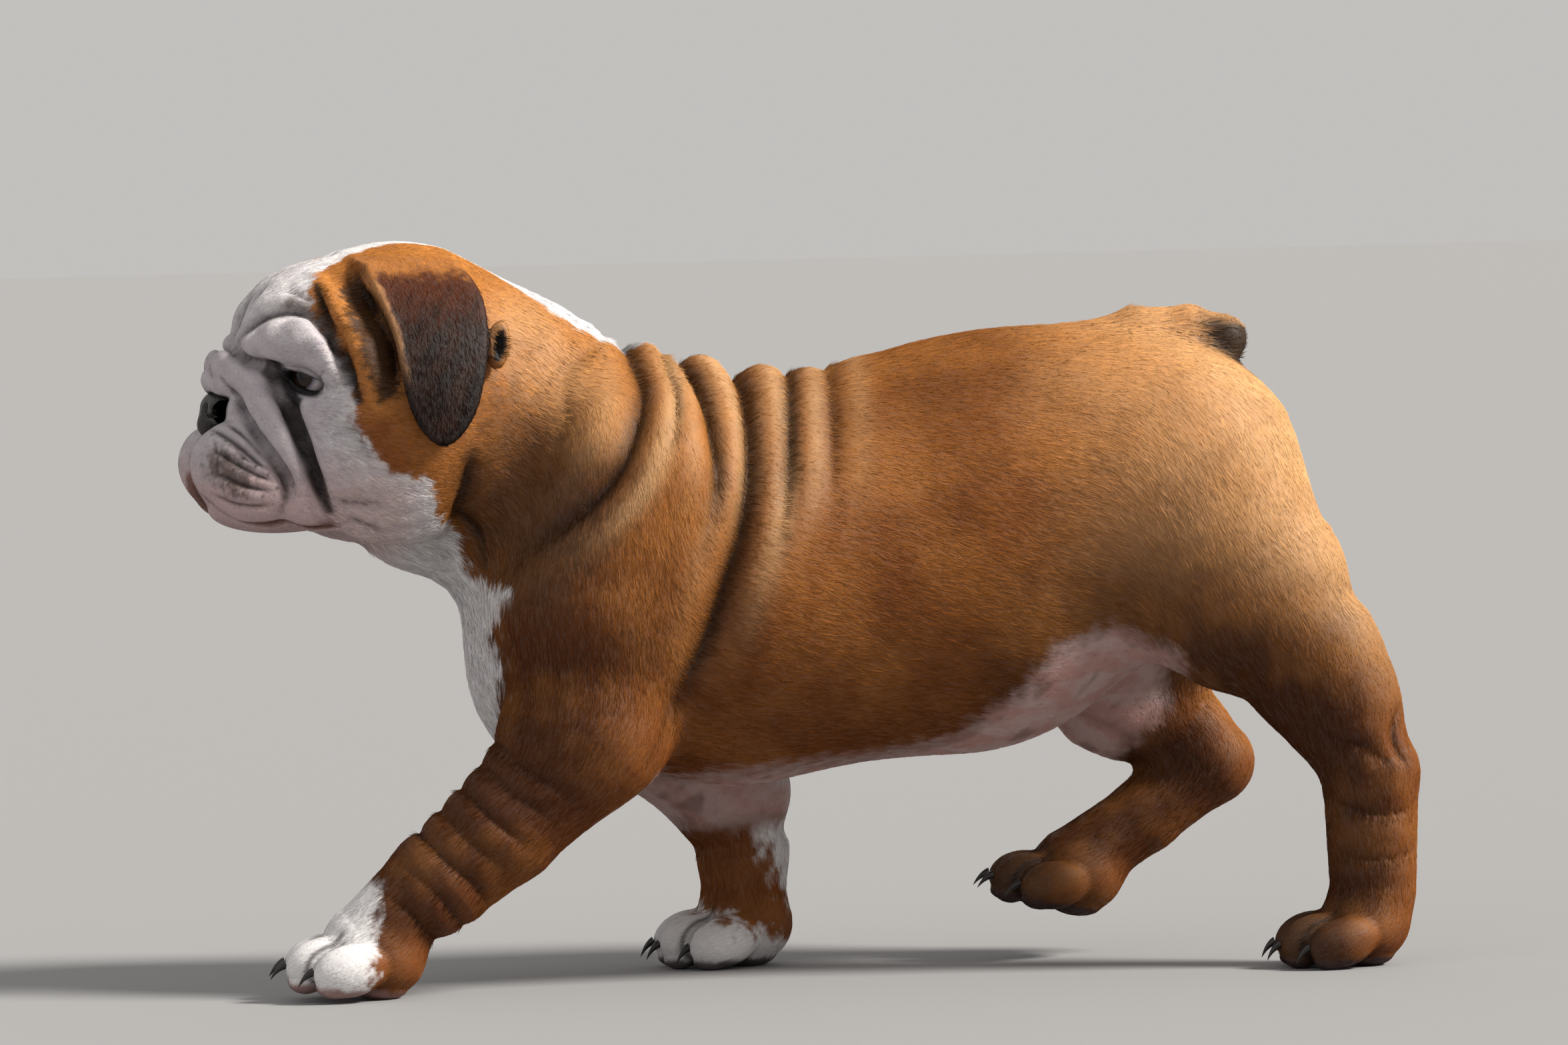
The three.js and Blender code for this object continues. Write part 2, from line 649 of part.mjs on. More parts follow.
const largest = (manifold) =>
  manifold.decompose().reduce((best, part) => (part.volume() > best.volume() ? part : best));

function claws({ frame, size }) {
  const [length, radius] = CLAW;
  return TOES.map(([x, y, z]) => {
    const claw = new THREE.ConeGeometry(radius, length, 6).rotateZ(Math.PI / 2);
    const root = inFrame(frame, [(x - 10.5) * size, y * size, (z - 3) * size], -y * 0.5, -32);
    return solid(claw.applyMatrix4(root));
  });
}

// Where the parts meet

const SHOULDER = {
  left: {
    outline: [
      [-34, 190], [-62, 208], [-98, 200], [-120, 168], [-136, 122], [-230, 60], [-230, -20],
      [-90, -20], [-60, 84], [-54, 106], [-40, 134],
    ],
    start: 10, lean: 0.17,
  },
  right: {
    outline: [
      [-34, 190], [-62, 208], [-98, 200], [-120, 168], [-128, 126], [-100, 70], [-80, -20],
      [20, -20], [16, 84], [-16, 110], [-30, 140],
    ],
    start: 10, lean: 0.17,
  },
};

const HAUNCH = {
  left: {
    outline: [
      [118, 128], [126, 168], [150, 206], [186, 212], [218, 200], [262, 120], [262, -20],
      [150, -20], [176, 60], [156, 104],
    ],
    start: -2, lean: 0.17,
  },
  right: {
    outline: [
      [100, 112], [112, 168], [140, 206], [178, 212], [212, 196], [216, 130], [205, 60],
      [150, -20], [50, -20], [50, 60], [96, 94],
    ],
    start: -2, lean: 0.17,
  },
};

const BROW = [-184, 0, 230, 14];
const NAPE = [-128, 0, 222, 18];
const WITHERS = [-92, 0, 200, 44];
const FLOOR = solid(new THREE.BoxGeometry(800, 400, 400).translate(0, 0, 200));

const group = new THREE.Group();

function addPart(name, manifold, colour, roughness = 0.8) {
  const geometry = geometryOf(largest(manifold)).toNonIndexed();
  geometry.computeVertexNormals();
  const material = new THREE.MeshStandardMaterial({ color: COLOURS[colour], roughness, metalness: 0 });
  const mesh = new THREE.Mesh(geometry, material);
  mesh.name = name;
  group.add(mesh);
}

// Trunk

const legs = [
  [SHOULDER.left, -1], [SHOULDER.right, 1], [HAUNCH.left, -1], [HAUNCH.right, 1],
];
const legsWithGap = legs.map(([block, s]) => sideBlock(block, s, GAP));
const tail = surfaceNet(union([TAIL]), [95, 8, 190], [-22, 6, 22], [215, 6, 275]);
const tailCut = grown(tail, GAP);

let torso = solid(surfaceNet(flesh, [-150, 6.2, 16, 17, 240], [-90, 16, 90], [50, 15, 290]));
torso = torso.intersect(beyond(WITHERS, GAP / 2)).subtract(tailCut);
for (const block of legsWithGap) torso = torso.subtract(block);
addPart("torso", torso, "fawn");
addPart("tail", solid(tail), "fawn");

let neck = solid(surfaceNet(flesh, [-190, 6.6, -20], [-85, 13.5, 85], [90, 12.5, 310]));
neck = neck.intersect(beyond(NAPE, GAP / 2)).subtract(beyond(WITHERS, -GAP / 2));
for (const block of legsWithGap.slice(0, 2)) neck = neck.subtract(block);
addPart("neck", neck, "fawn");

// Head: a finely meshed face and a plainer skull, with the nose, ears and eyes set in

const noseField = (x, y, z) => {
  let d = noseShape(x, y, z);
  for (const hole of NOSTRILS) d = -melt(-d, massDistance(hole, x, y, z), hole.blend);
  return d;
};
const nose = surfaceNet(noseField, [-250, 2.8, -215], [-45, 2.8, 5], [214, 2.8, 250]);
addPart("nose", solid(nose), "nose", 0.45);

let face = solid(surfaceNet(flesh, [-256, 4.2, -155], [-92, 4.4, 60], [160, 4.4, 306]));
face = face.subtract(beyond(BROW, -GAP / 2)).subtract(grown(nose, GAP));
let skull = solid(surfaceNet(flesh, [-215, 9, -80], [-95, 9, 75], [140, 9, 315]));
const skullBounds = beyond(BROW, GAP / 2).subtract(beyond(NAPE, -GAP / 2));
skull = skull.intersect(skullBounds);

// Rows down the ear flap, in the head's frame: z, front edge, rear edge
const EAR_ROWS = [
  [212, -155, -155], [218, -161, -150], [225, -166, -144.2], [234, -169.2, -139.8], [245, -171, -136.8],
  [259, -172.5, -134.4], [272, -175.5, -134.5], [284, -178.5, -139], [290, -176, -144],
];

// The flap hangs from its root in the skull to a free tip, hollow on its inner side, and its
// front edge turns outwards. Each ring of the ball becomes one level of the flap.
function earFlap(s) {
  const flap = new THREE.SphereGeometry(1, 14, 13).rotateX(Math.PI / 2);
  const { position } = flap.attributes;
  const [bottom, top] = [215.5, 290];
  for (let i = 0; i < position.count; i++) {
    const [u, v, w] = [position.getX(i), position.getY(i), position.getZ(i)];
    const z = (bottom + top) / 2 + (w * (top - bottom)) / 2;
    const row = Math.min(EAR_ROWS.length - 2, EAR_ROWS.findLastIndex(([level]) => level <= z));
    const [[z0, front0, rear0], [z1, front1, rear1]] = [EAR_ROWS[row], EAR_ROWS[row + 1]];
    const t = (z - z0) / (z1 - z0);
    const front = front0 + t * (front1 - front0);
    const rear = rear0 + t * (rear1 - rear0);
    const ring = Math.max(Math.hypot(u, v), 1e-6);
    const x = (front + rear) / 2 + ((rear - front) / 2) * (ring > 1e-5 ? u / ring : 0);
    const side = ring > 1e-5 ? v / ring : 0;
    const up = (z - 214) / 72;
    const curl = 2.4 * Math.exp(-(((x + 172 + 5 * up) / 4.5) ** 2)) * Math.min(1, 2 * up);
    const hang = 69.5 - 36 * Math.max(0, up) ** 2.8 - 0.006 * (x + 154) ** 2 + curl;
    const root = 9 * THREE.MathUtils.smoothstep(z, 262, 286);
    const thick = side > 0 ? 2.2 : 2.2 - 0.9 * side * side + root;
    position.setXYZ(i, x, s * (hang + thick * side), z);
  }
  if (s < 0) flip(flap);
  flap.computeVertexNormals();
  return mergeVertices(bare(flap), 1e-4).applyMatrix4(HEAD);
}

const BELOW_CROWN = solid(new THREE.BoxGeometry(800, 400, 288).translate(0, 0, 144));

// The small pocket of skin behind each ear
function pocket(s, radii, out) {
  const shape = new THREE.SphereGeometry(1, 10, 8).scale(...radii);
  return solid(shape.applyMatrix4(inFrame(HEAD, [-131, s * out, 254], 0, 8)));
}

for (const [side, s] of Object.entries({ left: -1, right: 1 })) {
  const socket = inFrame(HEAD, [EYE[0], s * EYE[1], EYE[2]], -s * EYE_TURN);
  const eye = new THREE.SphereGeometry(EYE_RADIUS, 14, 9).applyMatrix4(socket);
  addPart(`eye_${side}`, solid(eye), "eye", 0.1);
  const [width, height] = OPENING;
  const almond = new THREE.Shape()
    .moveTo(-width / 2, 0)
    .quadraticCurveTo(0, -height, width / 2, 0)
    .quadraticCurveTo(0, height, -width / 2, 0);
  const opening = new THREE.ExtrudeGeometry(almond, { depth: 30, bevelEnabled: false, curveSegments: 6 });
  const outwards = new THREE.Matrix4().set(0, 0, -1, 0, -1, 0, 0, 0, 0, 1, 0, 0, 0, 0, 0, 1);
  const slanted = inFrame(socket, [0, 0, 0], 0, 0, -s * EYE_SLANT);
  face = face.subtract(solid(opening.applyMatrix4(slanted.multiply(outwards))));
  const hollow = new THREE.SphereGeometry(EYE_RADIUS + GAP, 14, 9).applyMatrix4(socket);
  face = face.subtract(solid(hollow));

  skull = skull.add(pocket(s, [4.6, 4, 9.5], 59).intersect(skullBounds));
  skull = skull.subtract(pocket(s, [2.3, 5, 6.8], 64));
  const ear = earFlap(s);
  addPart(`ear_${side}`, solid(ear).intersect(BELOW_CROWN), "dark");
  skull = skull.subtract(grown(ear, GAP));
  face = face.subtract(grown(ear, GAP));
}
addPart("face", face, "white");
addPart("skull", skull, "fawn");

// Legs and paws

const LEGS = [
  ["foreleg_left", "forepaw_left", legs[0], [[-200, 11.5, -5], [-105, 11.5, 0], [10, 12, 230]]],
  ["foreleg_right", "forepaw_right", legs[1], [[-160, 11.5, 30], [0, 11.5, 105], [10, 12, 230]]],
  ["hindleg_left", "hindpaw_left", legs[2], [[95, 11.5, 265], [-90, 11.5, 8], [10, 12, 230]]],
  ["hindleg_right", "hindpaw_right", legs[3], [[90, 11.5, 230], [-8, 11.5, 90], [20, 12, 230]]],
];

for (const [name, paw, block, box] of LEGS) {
  const [x, y, z, lean] = PAWS[paw].wrist;
  const leg = solid(surfaceNet(flesh, ...box)).intersect(sideBlock(...block));
  addPart(name, leg.subtract(beyond([x, y, z, lean], -GAP / 2)), "fawn");

  const around = [[x - 60, 6, x + 36], [y - 34, 5.2, y + 34], [-8, 5.6, z + 30]];
  let foot = solid(surfaceNet(flesh, ...around)).intersect(beyond([x, y, z, lean], GAP / 2));
  for (const claw of claws(PAWS[paw])) foot = foot.add(claw);
  addPart(paw, foot.intersect(FLOOR), "white");
}

// Stand the model on its feet, centred on its own box
const box = new THREE.Box3().setFromObject(group);
group.position.set(-(box.min.x + box.max.x) / 2, -(box.min.y + box.max.y) / 2, -box.min.z);
group.updateMatrixWorld(true);

export default group;
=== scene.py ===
"""A life-size english bulldog puppy at a walk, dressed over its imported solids.

The flesh is the same field of rounded masses and pressed creases as in the solids, in millimetres
with the nose towards -x, meshed finer and with more folds. The coat is short tufts that follow
its lie. Markings are worked out from named outlines on the animal, for skin and coat alike."""

import math

import bpy
import numpy as np
from mathutils import Matrix, Vector


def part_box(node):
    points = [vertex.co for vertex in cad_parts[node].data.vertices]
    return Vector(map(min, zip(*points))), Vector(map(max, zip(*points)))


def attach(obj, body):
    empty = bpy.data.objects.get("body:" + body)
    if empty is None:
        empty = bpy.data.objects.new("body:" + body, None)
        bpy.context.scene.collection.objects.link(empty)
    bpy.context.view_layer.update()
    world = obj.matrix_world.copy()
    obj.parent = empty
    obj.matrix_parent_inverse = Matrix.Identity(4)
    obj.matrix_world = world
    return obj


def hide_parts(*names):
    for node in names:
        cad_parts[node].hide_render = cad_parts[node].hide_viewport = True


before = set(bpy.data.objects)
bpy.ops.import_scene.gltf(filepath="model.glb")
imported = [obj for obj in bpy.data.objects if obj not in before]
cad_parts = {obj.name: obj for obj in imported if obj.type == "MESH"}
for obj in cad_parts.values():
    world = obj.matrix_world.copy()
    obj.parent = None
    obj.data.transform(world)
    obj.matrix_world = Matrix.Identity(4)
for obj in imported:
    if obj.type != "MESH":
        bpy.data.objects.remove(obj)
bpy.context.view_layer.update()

# Sizes, in millimetres and degrees
STEP = 1.9  # of the body's mesh; the head and paws are divided further
COAT_DEPTH = 0.9  # the skin lies this far inside the solids
TUFTS = 370000
TUFT_BREADTH = 1.12  # of the widths in PARTS
HEAD_YAW, HEAD_PIVOT = 9, (-120, 0, 220)
EYE, EYE_RADIUS = (-198, 31, 243), 9  # centre in the head's frame, y outwards
EYE_TURN, EYE_SLANT = 48, 21
GAZE_TURN, GAZE_FALL = EYE_TURN - 11, 7
OPENING = (17, 4.6)  # breadth and height between the lids
EAR_HALF = 2.1  # half the thickness of an ear's flap
LEAD = 0.35  # how much more the coat of the head runs back than away from the nose
PIECE_FACES = 190000  # at most, in one piece of the coat
CAMERA_TURN, CAMERA_RISE, CAMERA_ROLL, CAMERA_REACH = -5, 2.6, 1.4, 3600
# The point looked at, and its place in a frame of 2000 units by 1333
LOOK_AT, LOOK_AT_UV, FRAME_WIDTH, FRAME_HEIGHT, MM_PER_UNIT = (0, 0, 138), (1024, 800), 2000, 1333, 0.3116
SENSOR = 36

rng = np.random.default_rng(11)


def linear(code):
    """A hex colour as linear light."""
    v = np.array([int(code[i : i + 2], 16) / 255 for i in (1, 3, 5)])
    return np.where(v < 0.04045, v / 12.92, ((v + 0.055) / 1.055) ** 2.4)


FAWN = linear("#82481d")
BRIGHT = linear("#b67639")
CREAM = linear("#d6a877")
BROWN = linear("#522a12")
SABLE = linear("#46301f")
DARK = linear("#1f120a")
WHITE = linear("#dfdbdb")
PINK = linear("#b98c84")
LILAC = linear("#9d8f96")
BLACK = linear("#0d0b0b")
LIP = linear("#6d4438")
PAD = linear("#37292a")


# Frames and masses
def place(origin=(0, 0, 0), yaw=0, pitch=0, roll=0):
    turn = [Matrix.Rotation(math.radians(a), 4, n) for a, n in ((yaw, "Z"), (pitch, "Y"), (roll, "X"))]
    m = turn[0] @ turn[1] @ turn[2]
    m.translation = origin
    return np.array(m)


WORLD = np.eye(4)
HEAD = place(HEAD_PIVOT, HEAD_YAW) @ place([-v for v in HEAD_PIVOT])


def at(m, p):
    p = np.asarray(p, float)
    return p @ m[:3, :3].T + m[:3, 3]


def into(m, p):
    return (np.asarray(p, float) - m[:3, 3]) @ m[:3, :3]


def pair(make):
    return [make(-1), make(1)]


def ball(m, centre, radii, blend, lean=(0, 0, 0)):
    """An ellipsoid, leaning by pitch, yaw and roll."""
    own = m @ place(centre, lean[1], lean[0], lean[2])
    radii = np.array(radii, float)
    return {"own": own, "radii": radii, "blend": blend, "reach": radii.max(), "centre": own[:3, 3]}


def limb(m, points, breadth, blend):
    """A chain of round cones through (x, y, z, radius) points."""
    pts = np.array(points, float)
    centre = pts[len(pts) // 2, :3]
    reach = (pts[:, 3] * max(1, breadth) + np.linalg.norm(pts[:, :3] - centre, axis=1)).max()
    return {"own": m, "points": pts, "breadth": breadth, "blend": blend, "reach": reach,
            "centre": at(m, centre)}


def melt(a, b, blend):
    h = np.maximum(blend - np.abs(a - b), 0) / blend
    return np.minimum(a, b) - h * h * blend / 4


def dot(a, b):
    return np.einsum("...i,...i->...", a, b)


def length_of(v):
    return np.sqrt(dot(v, v))


def mass_distance(mass, p):
    q = into(mass["own"], p)
    if "radii" in mass:
        k = q / mass["radii"]
        near, steep = length_of(k), length_of(k / mass["radii"])
        return near * (near - 1) / np.maximum(steep, 1e-6)
    q = q / (1, mass["breadth"], 1)
    pts = mass["points"] / (1, mass["breadth"], 1, 1)
    d = None
    for a, b in zip(pts, pts[1:]):
        axis = b[:3] - a[:3]
        size = np.linalg.norm(axis)
        r = q - a[:3]
        along = r @ axis / size
        off = np.sqrt(np.maximum(dot(r, r) - along * along, 0))
        flare = (a[3] - b[3]) / size
        t = np.clip((along + off * flare / math.sqrt(1 - flare * flare)) / size, 0, 1)
        own = length_of(r - t[:, None] * axis) - (a[3] + t * (b[3] - a[3]))
        d = own if d is None else melt(d, own, 3)
    return d * min(1, mass["breadth"])


def union(masses, p, start=None):
    d = np.full(len(p), 1e3) if start is None else start
    for mass in masses:
        close = np.flatnonzero(length_of(p - mass["centre"]) - mass["reach"] <= d + mass["blend"])
        if len(close):
            d[close] = melt(d[close], mass_distance(mass, p[close]), mass["blend"])
    return d


TRUNK = [
    ball(WORLD, (-30, 0, 158), (92, 75, 83), 30),
    ball(WORLD, (60, 0, 168), (88, 66, 83), 30, (-3, 0, 0)),
    ball(WORLD, (118, 0, 196), (78, 58, 59), 30, (-4, 0, 0)),
    ball(WORLD, (-92, 0, 138), (42, 54, 56), 24, (14, 0, 0)),
]
NECK = [
    limb(WORLD, [(-30, 0, 170, 60), (-84, 0, 198, 59), (-122, 0, 224, 53)], 1, 26),
    limb(WORLD, [(-112, 0, 196, 40), (-150, 0, 196, 32), (-176, 0, 200, 24)], 1.1, 22),
]
FORELEGS = [
    limb(WORLD, [(-64, -50, 196, 34), (-86, -54, 146, 36), (-92, -56, 104, 30)], 0.85, 24),
    limb(WORLD, [(-90, -55, 100, 29), (-124, -54, 66, 23.5), (-150, -53, 45, 21), (-180, -53, 22, 16)],
         0.95, 12),
    limb(WORLD, [(-62, 50, 196, 34), (-80, 54, 146, 36), (-56, 56, 104, 30)], 0.85, 24),
    limb(WORLD, [(-52, 56, 100, 29), (-27, 54, 70, 26), (-22, 52, 45, 19), (-22, 51, 22, 17.5)], 0.95, 12),
]
HINDLEGS = [
    limb(WORLD, [(150, -32, 186, 50), (172, -36, 150, 43), (197, -40, 122, 28)], 0.72, 24),
    limb(WORLD, [(197, -40, 122, 27), (209, -41, 102, 25), (220, -42, 76, 20), (220, -42, 30, 18)], 0.86, 10),
    limb(WORLD, [(150, 32, 186, 50), (138, 38, 140, 42), (132, 42, 108, 27)], 0.72, 24),
    limb(WORLD, [(132, 42, 106, 27), (158, 43, 88, 20), (170, 42, 78, 15)], 0.86, 10),
    limb(WORLD, [(166, 42, 76, 17), (140, 42, 56, 15.5), (112, 41, 38, 16)], 0.9, 8),
]
TAIL = [
    limb(WORLD, [(118, 0, 240, 16), (136, 0, 250, 12.5), (156, -2, 252, 10.5), (171, -4, 249, 9.5)], 1, 8),
]


def brow_path(s):
    return [(-221, s * 12, 251, 5), (-218.5, s * 20, 254.5, 6.5), (-212, s * 29, 257, 8.5),
            (-204, s * 37, 257, 9.5), (-197, s * 43, 252.5, 8.5), (-193.5, s * 47, 245.5, 6)]


def rope_path(s):
    return [(-229, s * 2, 247.5, 6.5), (-228, s * 8, 247.5, 7.2), (-222.5, s * 15, 244.5, 8),
            (-218, s * 21, 239.5, 8.8), (-215.5, s * 25, 233, 9), (-212.6, s * 28.5, 226, 8.8),
            (-209.3, s * 31.5, 219, 8.2), (-206.4, s * 34, 212, 7.4), (-203.5, s * 36, 205, 6.8),
            (-201.3, s * 37.5, 198.5, 6.2), (-199.5, s * 37.5, 192, 5)]


def cheek_path(s):
    return [(-201, s * 28, 237, 8.5), (-197, s * 33, 226, 11), (-193, s * 36, 213, 12),
            (-188, s * 38, 201, 11)]


def ridge_path(s):
    return [(-196, s * 20, 282, 3), (-193, s * 32, 273.5, 5), (-188.5, s * 43, 262, 6.5),
            (-184, s * 49.5, 252, 7), (-180, s * 53, 241, 7), (-177, s * 53, 229, 6)]


BRIDGE_PATH = [(-226, -14, 236, 3), (-230.5, -9, 240.5, 5), (-232, 0, 242.5, 6), (-230.5, 9, 240.5, 5),
               (-226, 14, 236, 3)]


HEAD_MASSES = [
    ball(HEAD, (-160, 0, 246), (54, 55, 50), 14),
    ball(HEAD, (-196, 0, 256), (30, 38, 31), 14),
    ball(HEAD, (-196, 0, 224), (34, 36, 34), 14),
    ball(HEAD, (-216, 0, 210), (24, 24, 24), 8),
    *pair(lambda s: ball(HEAD, (-162, s * 42, 224), (36, 22, 38), 16)),
    *pair(lambda s: ball(HEAD, (-176, s * 36, 196), (26, 16, 19), 14, (18, 0, 0))),
    # The front of the cheek, up against the nose roll, and the ridge before the ear
    *pair(lambda s: limb(HEAD, cheek_path(s), 1, 6)),
    *pair(lambda s: limb(HEAD, ridge_path(s), 1, 4)),
    ball(HEAD, (-203, 0, 193.5), (34, 28, 12.5), 4, (-4, 0, 0)),
    # Lip pads, their lower borders and their ends behind the corner of the mouth
    *pair(lambda s: ball(HEAD, (-222, s * 14.5, 208), (24.5, 16, 20), 4, (10, s * 6, 0))),
    *pair(lambda s: ball(HEAD, (-217, s * 23, 199), (21, 15, 15.5), 5, (0, s * 10, 0))),
    *pair(lambda s: ball(HEAD, (-200, s * 33, 192), (14, 10, 10), 5, (10, -s * 15, 0))),
    *pair(lambda s: limb(HEAD, brow_path(s), 1, 3.5)),
    *pair(lambda s: limb(HEAD, rope_path(s), 1, 2)),
    limb(HEAD, BRIDGE_PATH, 1, 1.5),
    *pair(lambda s: ball(HEAD, (-224, s * 14, 229), (8, 6.5, 9.5), 2)),
]
NOSE = [
    ball(HEAD, (-231, 0, 231), (7.5, 10.5, 7.5), 4, (14, 0, 0)),
    *pair(lambda s: ball(HEAD, (-230.5, s * 8.5, 230), (6.5, 6, 6.3), 3, (14, s * 12, 0))),
    ball(HEAD, (-235, 0, 225), (5, 4, 5), 3),
]
NOSTRILS = [
    *pair(lambda s: ball(HEAD, (-238.5, s * 5.5, 231), (6, 2.4, 2.8), 1.2, (10, s * 8, 0))),
    *pair(lambda s: ball(HEAD, (-236.5, s * 9, 228.8), (4, 3, 0.8), 0.6, (10, s * 30, s * 10))),
]
TOES = [(-23, -7.6, 12), (-23, 7.6, 12), (-13, -18, 11), (-13, 18, 11)]
TOE_RADII = (14.5, 8.2, 10.5)
PAWS = {
    "forepaw_left": (place((-179, -53, 0), 0, 7), 1.05),
    "forepaw_right": (place((-25, 51, -0.5), 4), 1.05),
    "hindpaw_left": (place((213, -42, -0.5)), 1),
    "hindpaw_right": (place((106, 41, 18), 0, 12), 1),
}


def paw_masses(m, size):
    def part(centre, radii, blend, lean=(0, 0, 0)):
        return ball(m, [v * size for v in centre], [v * size for v in radii], blend, lean)

    return [
        part((2, 0, 15), (19, 19, 15), 8),
        *[part((x + 5, y, z), TOE_RADII, 3, (-16, -y * 0.4, 0)) for x, y, z in TOES],
        part((4, 0, 5), (11, 13, 6), 2),
        *[part((x - 1, y, 4), (6.5, 6, 4.5), 1.5) for x, y, z in TOES],
    ]


PAW_MASSES = {name: paw_masses(*spec) for name, spec in PAWS.items()}
MASSES = [*TRUNK, *NECK, *FORELEGS, *HINDLEGS, *TAIL, *HEAD_MASSES, *sum(PAW_MASSES.values(), [])]


def plain(p):
    return union(MASSES, p)


# Creases
def slope(field, p, base=None, e=0.06):
    base = field(p) if base is None else base
    return np.stack([(field(p + np.eye(3)[q] * e) - base) / e for q in range(3)], 1)


def settle(field, p, limit, rounds=2):
    """Moves points on to the surface of the field."""
    for _ in range(rounds):
        f = field(p)
        g = slope(field, p, f)
        move = g * (f / np.maximum(dot(g, g), 0.2))[:, None]
        p = p - np.clip(move, -limit, limit)
    return p


def curve(points, step):
    """A smooth path through the points, at about the given spacing."""
    pts = np.array(points, float)
    ext = np.vstack([2 * pts[0] - pts[1], pts, 2 * pts[-1] - pts[-2]])
    out = []
    for i in range(1, len(ext) - 2):
        a, b, c, d = ext[i - 1 : i + 3]
        n = max(1, round(np.linalg.norm(c - b) / step))
        t = (np.arange(n) / n)[:, None]
        bend, twist = 2 * a - 5 * b + 4 * c - d, 3 * b - a - 3 * c + d
        out.append(0.5 * (2 * b + (c - a) * t + bend * t**2 + twist * t**3))
    return np.vstack([*out, pts[-1:]])


def on_flank(line, s):
    """[x, z] points set on the flank of side s."""
    out = []
    y = np.arange(130, -1, -1)
    for x, z in line:
        d = plain(np.stack([np.full(131, x), s * y, np.full(131, z)], 1).astype(float))
        hit = np.flatnonzero(d < 0)
        out.append((x, s * y[hit[0]] if len(hit) else 0, z))
    return out


def crease(points, depth, width, ridge=0.12, step=3):
    path = settle(plain, curve(points, step), 4, 8)
    for _ in range(6):  # without its small zigzags
        path[1:-1] = (path[:-2] + 2 * path[1:-1] + path[2:]) / 4
    path = settle(plain, path, 1.5, 2)
    n = len(path) - 1
    end = np.minimum(np.arange(n + 1), n - np.arange(n + 1)) / n
    fade = np.clip(end / 0.22, 0, 1)
    depths = depth * (0.1 + 0.9 * fade * fade * (3 - 2 * fade))
    return {"path": path, "depths": depths, "width": width, "ridge": ridge,
            "low": path.min(0) - 4 * width, "high": path.max(0) + 4 * width}


def crease_reach(fold, p):
    """Points near the fold, how near they are in widths, and the fold's depth beside them."""
    inside = np.flatnonzero(((p > fold["low"]) & (p < fold["high"])).all(1))
    path, depths = fold["path"], fold["depths"]
    best, depth = np.full(len(inside), 1e9), np.zeros(len(inside))
    for start in range(0, len(inside), 60000):
        q = p[inside[start : start + 60000]]
        nearest = ((path**2).sum(1) - 2 * q @ path.T).argmin(1)
        for k in (nearest - 1, nearest):
            k = np.clip(k, 0, len(path) - 2)
            axis = path[k + 1] - path[k]
            t = np.clip(dot(q - path[k], axis) / dot(axis, axis), 0, 1)
            off = length_of(q - path[k] - t[:, None] * axis)
            nearer = off < best[start : start + 60000]
            best[start : start + 60000][nearer] = off[nearer]
            depth[start : start + 60000][nearer] = (depths[k] + t * (depths[k + 1] - depths[k]))[nearer]
    return inside, best / fold["width"], depth


def crease_depth(fold, p):
    """How deep the fold presses at each point, raised a little on either side."""
    d = np.zeros(len(p))
    inside, near, depth = crease_reach(fold, p)
    s = np.sqrt(near**2 + 0.02)
    d[inside] = depth * (1.25 * np.exp(-1.6 * s) - fold["ridge"] * np.exp(-((s - 2.2) ** 2) / 1.6))
    return d


def crease_shade(p):
    """How far each point lies down in a fold, from 0 to 1: how much painted shade it gets."""
    dark = np.zeros(len(p))
    for fold in CREASES:
        inside, near, depth = crease_reach(fold, p)
        dark[inside] = np.maximum(dark[inside], np.exp(-((near / 0.72) ** 2)) * np.clip(depth / 5, 0, 1))
    return dark


def crest_highlight(p):
    """How near each point is to the crest of a neck fold, on the side away from the head, for a painted
    highlight there.
    """
    crest = np.zeros(len(p))
    for fold in CREASES[: len(FLANK_FOLDS) - 1]:
        inside, near, depth = crease_reach(fold, p)
        behind = p[inside, 0] > np.interp(p[inside, 2], *zip(*sorted((z, x) for x, _, z in fold["path"])))
        high = np.exp(-((near - 1.9) ** 2) / 0.5) * np.clip(depth / 6, 0, 1) * np.where(behind, 1, 0.35)
        crest[inside] = np.maximum(crest[inside], high)
    return crest


